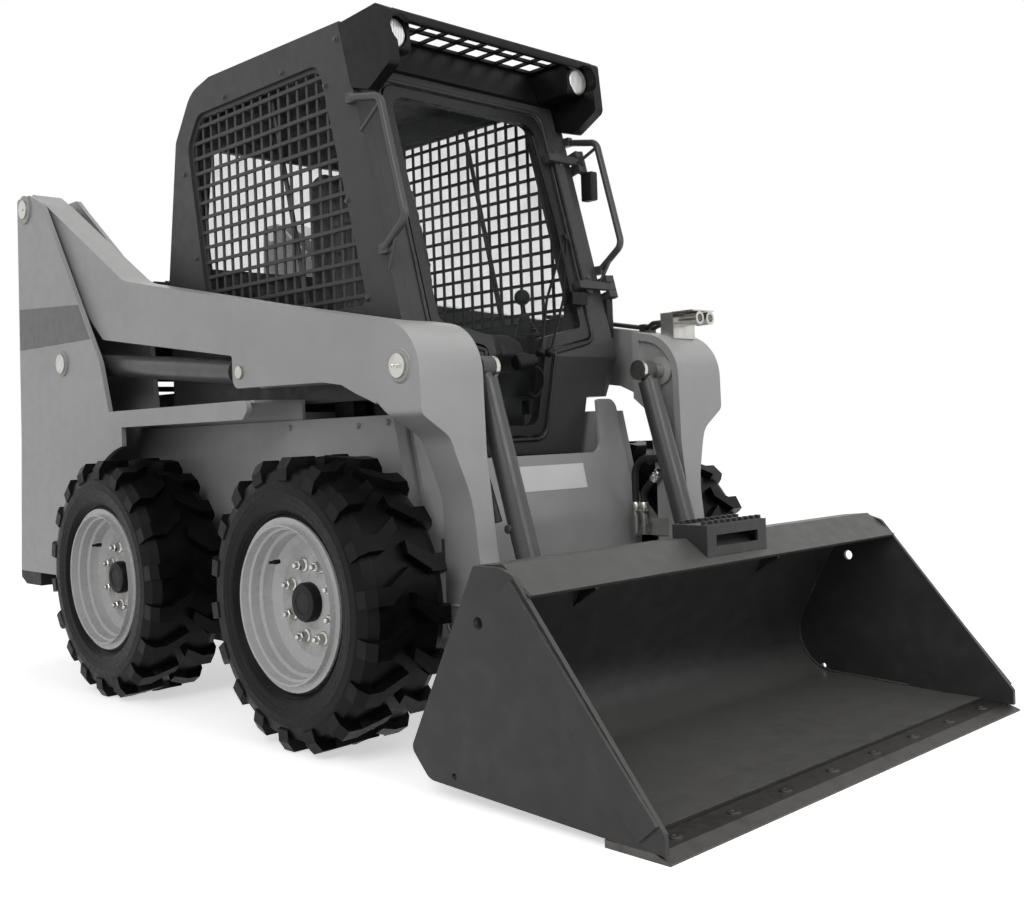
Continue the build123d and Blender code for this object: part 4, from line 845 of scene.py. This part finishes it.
bmesh.ops.recalc_face_normals(mesh, faces=mesh.faces)
rim_edges = [e for e in mesh.edges if all(v in set(front_ring) for v in e.verts)]
bmesh.ops.bevel(mesh, geom=rim_edges, offset=0.002, segments=2, affect="EDGES")
finish_piece(mesh, "door_hinge_bar", MATERIALS["cab_grey"], "cab_door")
FACE_AXIS = Vector((1, 0, FRONT_LEAN)).normalized()
mesh = bmesh.new()
for z in (BAR_LOW_Z + 20, BAR_LOW_Z + 52, BAR_TOP_Z - 52, BAR_TOP_Z - 20):
    bolt(mesh, on_face(BAR_Y, z, BAR_FRONT), FACE_AXIS, 0.007)
finish_piece(mesh, "door_hinge_bolts", DARK_BOLT, "cab_door")
mesh = bmesh.new()
soft_box(mesh, at(496, 456, 1556), at(546, 488, 1650))
soft_box(mesh, at(574, 428, 1098), at(622, 456, 1236))
finish_piece(mesh, "hinge_boxes", MATERIALS["cast_dark"], "chassis")

# Wiper linkage with its pivots, its motor at the foot of the glass, and the motor's cable. Places are in mm:
# y, z and how far ahead of the cab's face.
WIPER_BARS = [
    [(288, 1404, 15), (150, 1206, 13), (72, 1040, 13)],
    [(300, 1404, 15), (224, 1210, 13), (112, 1040, 13)],
]
TOP_PIVOT = [(0.016, 0.0), (0.016, 0.012), (0.010, 0.018), (0.010, 0.026)]
LOW_PIVOT = [(0.013, 0.0), (0.013, 0.014), (0.008, 0.020)]
MOTOR = [(0.020, 0.0), (0.024, 0.004), (0.024, 0.050), (0.018, 0.056), (0.018, 0.070), (0.008, 0.074)]
MOTOR_CABLE = [(30, 1004, 22), (70, 985, 26), (84, 938, 22), (60, 905, 18), (30, 925, 14)]
mesh = bmesh.new()
for bar in WIPER_BARS:
    tube(mesh, [on_face(*place) for place in bar], 0.0042, 10)
turned(mesh, TOP_PIVOT, on_face(292, 1408, 2), FACE_AXIS, 24)
turned(mesh, LOW_PIVOT, on_face(72, 1040, 2), FACE_AXIS, 24)
turned(mesh, LOW_PIVOT, on_face(112, 1040, 2), FACE_AXIS, 24)
turned(mesh, MOTOR, on_face(-46, 1008, 24), (0.15, 1, 0.1), 28)
tube(mesh, rounded_route([on_face(*place) for place in MOTOR_CABLE], 0.03), 0.0035, 8)
finish_piece(mesh, "wiper_linkage", MATERIALS["black_plastic"], "cab_door")

# Weld beads in the bucket's corners, found by rays that sweep its bowl, and round the arms' tube and bosses
SWEEP_START = 108
SWEEP_STEP = 4.6
SWEEP_RAYS = 34
BOSS_RADIUS = 0.0405
mesh = bmesh.new()
for side, sign in SIDES.items():
    inner_corner = []
    for k in range(SWEEP_RAYS):
        angle = math.radians(SWEEP_START + k * SWEEP_STEP)
        start = at(1500, sign * 746, 330)
        direction = Vector((math.cos(angle), 0, math.sin(angle)))
        found, place, _, _ = nodes["bucket_shell"].ray_cast(start, direction)
        if found:
            inner_corner.append(place + Vector((0, sign * 0.003, 0)))
    weld_bead(mesh, inner_corner, 0.0045)
finish_piece(mesh, "bucket_welds", MATERIALS["attachment_grey"], "bucket")
mesh = bmesh.new()
for side, sign in SIDES.items():
    for y in (400, 466):
        weld_bead(mesh, ring_points(at(860, sign * y, 330), BOSS_RADIUS), 0.004, closed=True)
    weld_bead(mesh, ring_points(at(845, sign * 610, 980), BOSS_RADIUS), 0.0035, closed=True)
finish_piece(mesh, "arm_welds", MATERIALS["body_grey"], "lift_arms")

# Grease nipples on the pins
NIPPLE = [(0.0065, 0.0), (0.0065, 0.005), (0.004, 0.006), (0.004, 0.012), (0.0045, 0.014), (0.002, 0.017)]
NIPPLES = [("lift_arms", 845, 622, 980), ("chassis", -1308, 640, 1703)]
for body, x, y, z in NIPPLES:
    mesh = bmesh.new()
    for side, sign in SIDES.items():
        turned(mesh, NIPPLE, at(x, sign * y, z), (0, sign, 0), 12)
    finish_piece(mesh, f"grease_nipples_{body}", BRIGHT, body)


# Seat: cushions blown up as cloth, held to a limit, then seamed.
VOXEL = 0.008
SWELL_LIMIT = 0.016
CLOTH_FRAMES = 20
PAST_CAD = 0.004
SHORT_OF_CAD = 0.0005


def swapped_mesh(piece):
    """Gives a piece the mesh that its modifiers make, and drops them."""
    made = bpy.data.meshes.new_from_object(piece.evaluated_get(bpy.context.evaluated_depsgraph_get()))
    piece.modifiers.clear()
    piece.data = made


def upholster(name, node, shrink, seams):
    """A padded cover for a soft CAD solid. seams gives a depth in metres for a place on it."""
    low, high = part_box(node)
    centre = (low + high) / 2
    piece = bpy.data.objects.new(name, nodes[node].data.copy())
    bpy.context.scene.collection.objects.link(piece)
    for vert in piece.data.vertices:
        vert.co = centre + Vector([(vert.co[i] - centre[i]) * shrink[i] for i in range(3)])
    remesh = piece.modifiers.new("remesh", "REMESH")
    remesh.mode = "VOXEL"
    remesh.voxel_size = VOXEL
    swapped_mesh(piece)
    rest = [vert.co.copy() for vert in piece.data.vertices]
    cloth = piece.modifiers.new("cloth", "CLOTH")
    cloth.settings.use_pressure = True
    cloth.settings.uniform_pressure_force = 4.0
    cloth.settings.tension_stiffness = 12.0
    cloth.settings.compression_stiffness = 12.0
    cloth.settings.effector_weights.gravity = 0.0
    for step in range(CLOTH_FRAMES):
        bpy.context.scene.frame_set(step + 1)
    swapped_mesh(piece)
    bpy.context.scene.frame_set(1)
    for vert, was in zip(piece.data.vertices, rest):
        moved = vert.co - was
        if moved.length > SWELL_LIMIT:
            vert.co = was + moved.normalized() * SWELL_LIMIT
    for vert in piece.data.vertices:
        inwards = (centre - vert.co).normalized()
        vert.co += inwards * seams(vert.co)
        for i in range(3):
            vert.co[i] = min(max(vert.co[i], low[i] + SHORT_OF_CAD), high[i] + PAST_CAD)
    smooth = piece.modifiers.new("smooth", "SUBSURF")
    smooth.levels = 1
    swapped_mesh(piece)
    for face in piece.data.polygons:
        face.use_smooth = True
    piece.data.materials.clear()
    piece.data.materials.append(MATERIALS["seat_vinyl"])
    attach(piece, "chassis")
    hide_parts(node)


SEAM_WIDTH = 0.006
CUSHION_SEAM_Y = 0.135
CUSHION_SEAM_X = at(250, 0, 0).x
BACK_SEAM_Y = 0.150
BACK_CHANNELS_Z = (1.25, 1.38, 1.51)


def groove(distance, depth):
    """Depth of a sewn channel at a distance from its middle."""
    return depth * math.exp(-((distance / SEAM_WIDTH) ** 2))


def cushion_seams(place):
    """Two sewn channels fore and aft, and one across between them."""
    depth = groove(abs(place.y) - CUSHION_SEAM_Y, 0.007)
    if abs(place.y) < CUSHION_SEAM_Y:
        depth += groove(place.x - CUSHION_SEAM_X, 0.006)
    return depth


def back_seams(place):
    """Bolsters each side, and three channels across the middle panel."""
    depth = groove(abs(place.y) - BACK_SEAM_Y, 0.008)
    if abs(place.y) < BACK_SEAM_Y:
        nearest = min(abs(place.z - z) for z in BACK_CHANNELS_Z)
        depth += groove(nearest, 0.006)
    return depth


upholster("seat_cushion_cover", "seat_cushion", (0.95, 0.96, 0.86), cushion_seams)
upholster("seat_back_cover", "seat_back", (0.88, 0.95, 0.96), back_seams)

# Camera at the photograph's place and angle
CAMERA_PLACE = Vector((2.9893, -2.4493, 0.8020))
CAMERA_YAW = math.radians(135.9166)
CAMERA_PITCH = math.radians(-1.0126)
CAMERA_ROLL = math.radians(-2.0516)
LENS_MM = 41.69
SENSOR_MM = 36.0
level_ahead = Vector((math.cos(CAMERA_YAW), math.sin(CAMERA_YAW), 0))
forwards = level_ahead * math.cos(CAMERA_PITCH) + Vector((0, 0, math.sin(CAMERA_PITCH)))
level_right = Vector((math.sin(CAMERA_YAW), -math.cos(CAMERA_YAW), 0))
level_up = level_right.cross(forwards)
right = math.cos(CAMERA_ROLL) * level_right + math.sin(CAMERA_ROLL) * level_up
up = -math.sin(CAMERA_ROLL) * level_right + math.cos(CAMERA_ROLL) * level_up
camera_data = bpy.data.cameras.new("camera")
camera_data.sensor_width = SENSOR_MM
camera_data.lens = LENS_MM
camera = bpy.data.objects.new("camera", camera_data)
camera_turn = Matrix((right, up, -forwards)).transposed().to_4x4()
camera.matrix_world = Matrix.Translation(CAMERA_PLACE) @ camera_turn
scene = bpy.context.scene
scene.collection.objects.link(camera)
scene.camera = camera
scene.view_settings.view_transform = "Standard"

# Studio: pale floor, bright surround, four soft lights
WHITE = linear("#FFFFFF")
FLOOR_HALF = 14.0
FLOOR_GLOW = 0.55
WORLD_LIGHT = 0.5


def seen_directly(tree):
    """1 for what the camera sees straight, through glass or in a reflection, and 0 for light on things."""
    path = add_node(tree, "ShaderNodeLightPath").outputs
    seen = {0: path["Is Camera Ray"], 1: path["Is Glossy Ray"]}
    seen = {0: add_node(tree, "ShaderNodeMath", seen, operation="MAXIMUM"), 1: path["Is Transmission Ray"]}
    return add_node(tree, "ShaderNodeMath", seen, operation="MAXIMUM")


floor_mesh = bmesh.new()
bmesh.ops.create_grid(floor_mesh, x_segments=1, y_segments=1, size=FLOOR_HALF)
floor_data = bpy.data.meshes.new("floor")
floor_mesh.to_mesh(floor_data)
floor_mesh.free()
floor = bpy.data.objects.new("floor", floor_data)
scene.collection.objects.link(floor)
# Matt studio paper, which glows a little where it is seen, so that it fades into the surround
paper, paper_tree, paper_shader, _ = new_material("studio_paper")
paper_glow = {0: seen_directly(paper_tree), 1: FLOOR_GLOW}
paper_finish = {
    "Base Color": linear("#F4F4F4"),
    "Roughness": 0.9,
    "Emission Color": WHITE,
    "Emission Strength": add_node(paper_tree, "ShaderNodeMath", paper_glow, operation="MULTIPLY"),
}
wire(paper_tree, paper_shader, paper_finish)
floor_data.materials.append(paper)

# White where it is seen, and dimmer in what it sheds on things
world = bpy.data.worlds.new("studio")
world.use_nodes = True
world_tree = world.node_tree
strength = {"Value": seen_directly(world_tree), "To Min": WORLD_LIGHT}
surround = {"Color": WHITE, "Strength": add_node(world_tree, "ShaderNodeMapRange", strength)}
wire(world_tree, world_tree.nodes["Background"], surround)
scene.world = world


def soft_light(name, place, target, size, power):
    """A square lamp size metres across, aimed at target."""
    data = bpy.data.lights.new(name, "AREA")
    data.size = size
    data.energy = power
    light = bpy.data.objects.new(name, data)
    light.location = place
    light.rotation_euler = (Vector(target) - Vector(place)).to_track_quat("-Z", "Y").to_euler()
    scene.collection.objects.link(light)


soft_light("key_light", (2.5, -4.5, 4.0), (0, 0, 0.8), 2.5, 85)
soft_light("fill_light", (5.0, 2.0, 2.5), (0, 0, 0.8), 3.5, 20)
soft_light("front_light", (3.6, -0.5, 2.4), (0.9, 0, 0.4), 1.6, 30)
soft_light("rim_light", (-3.5, 3.5, 4.0), (0, 0, 0.9), 3.0, 30)
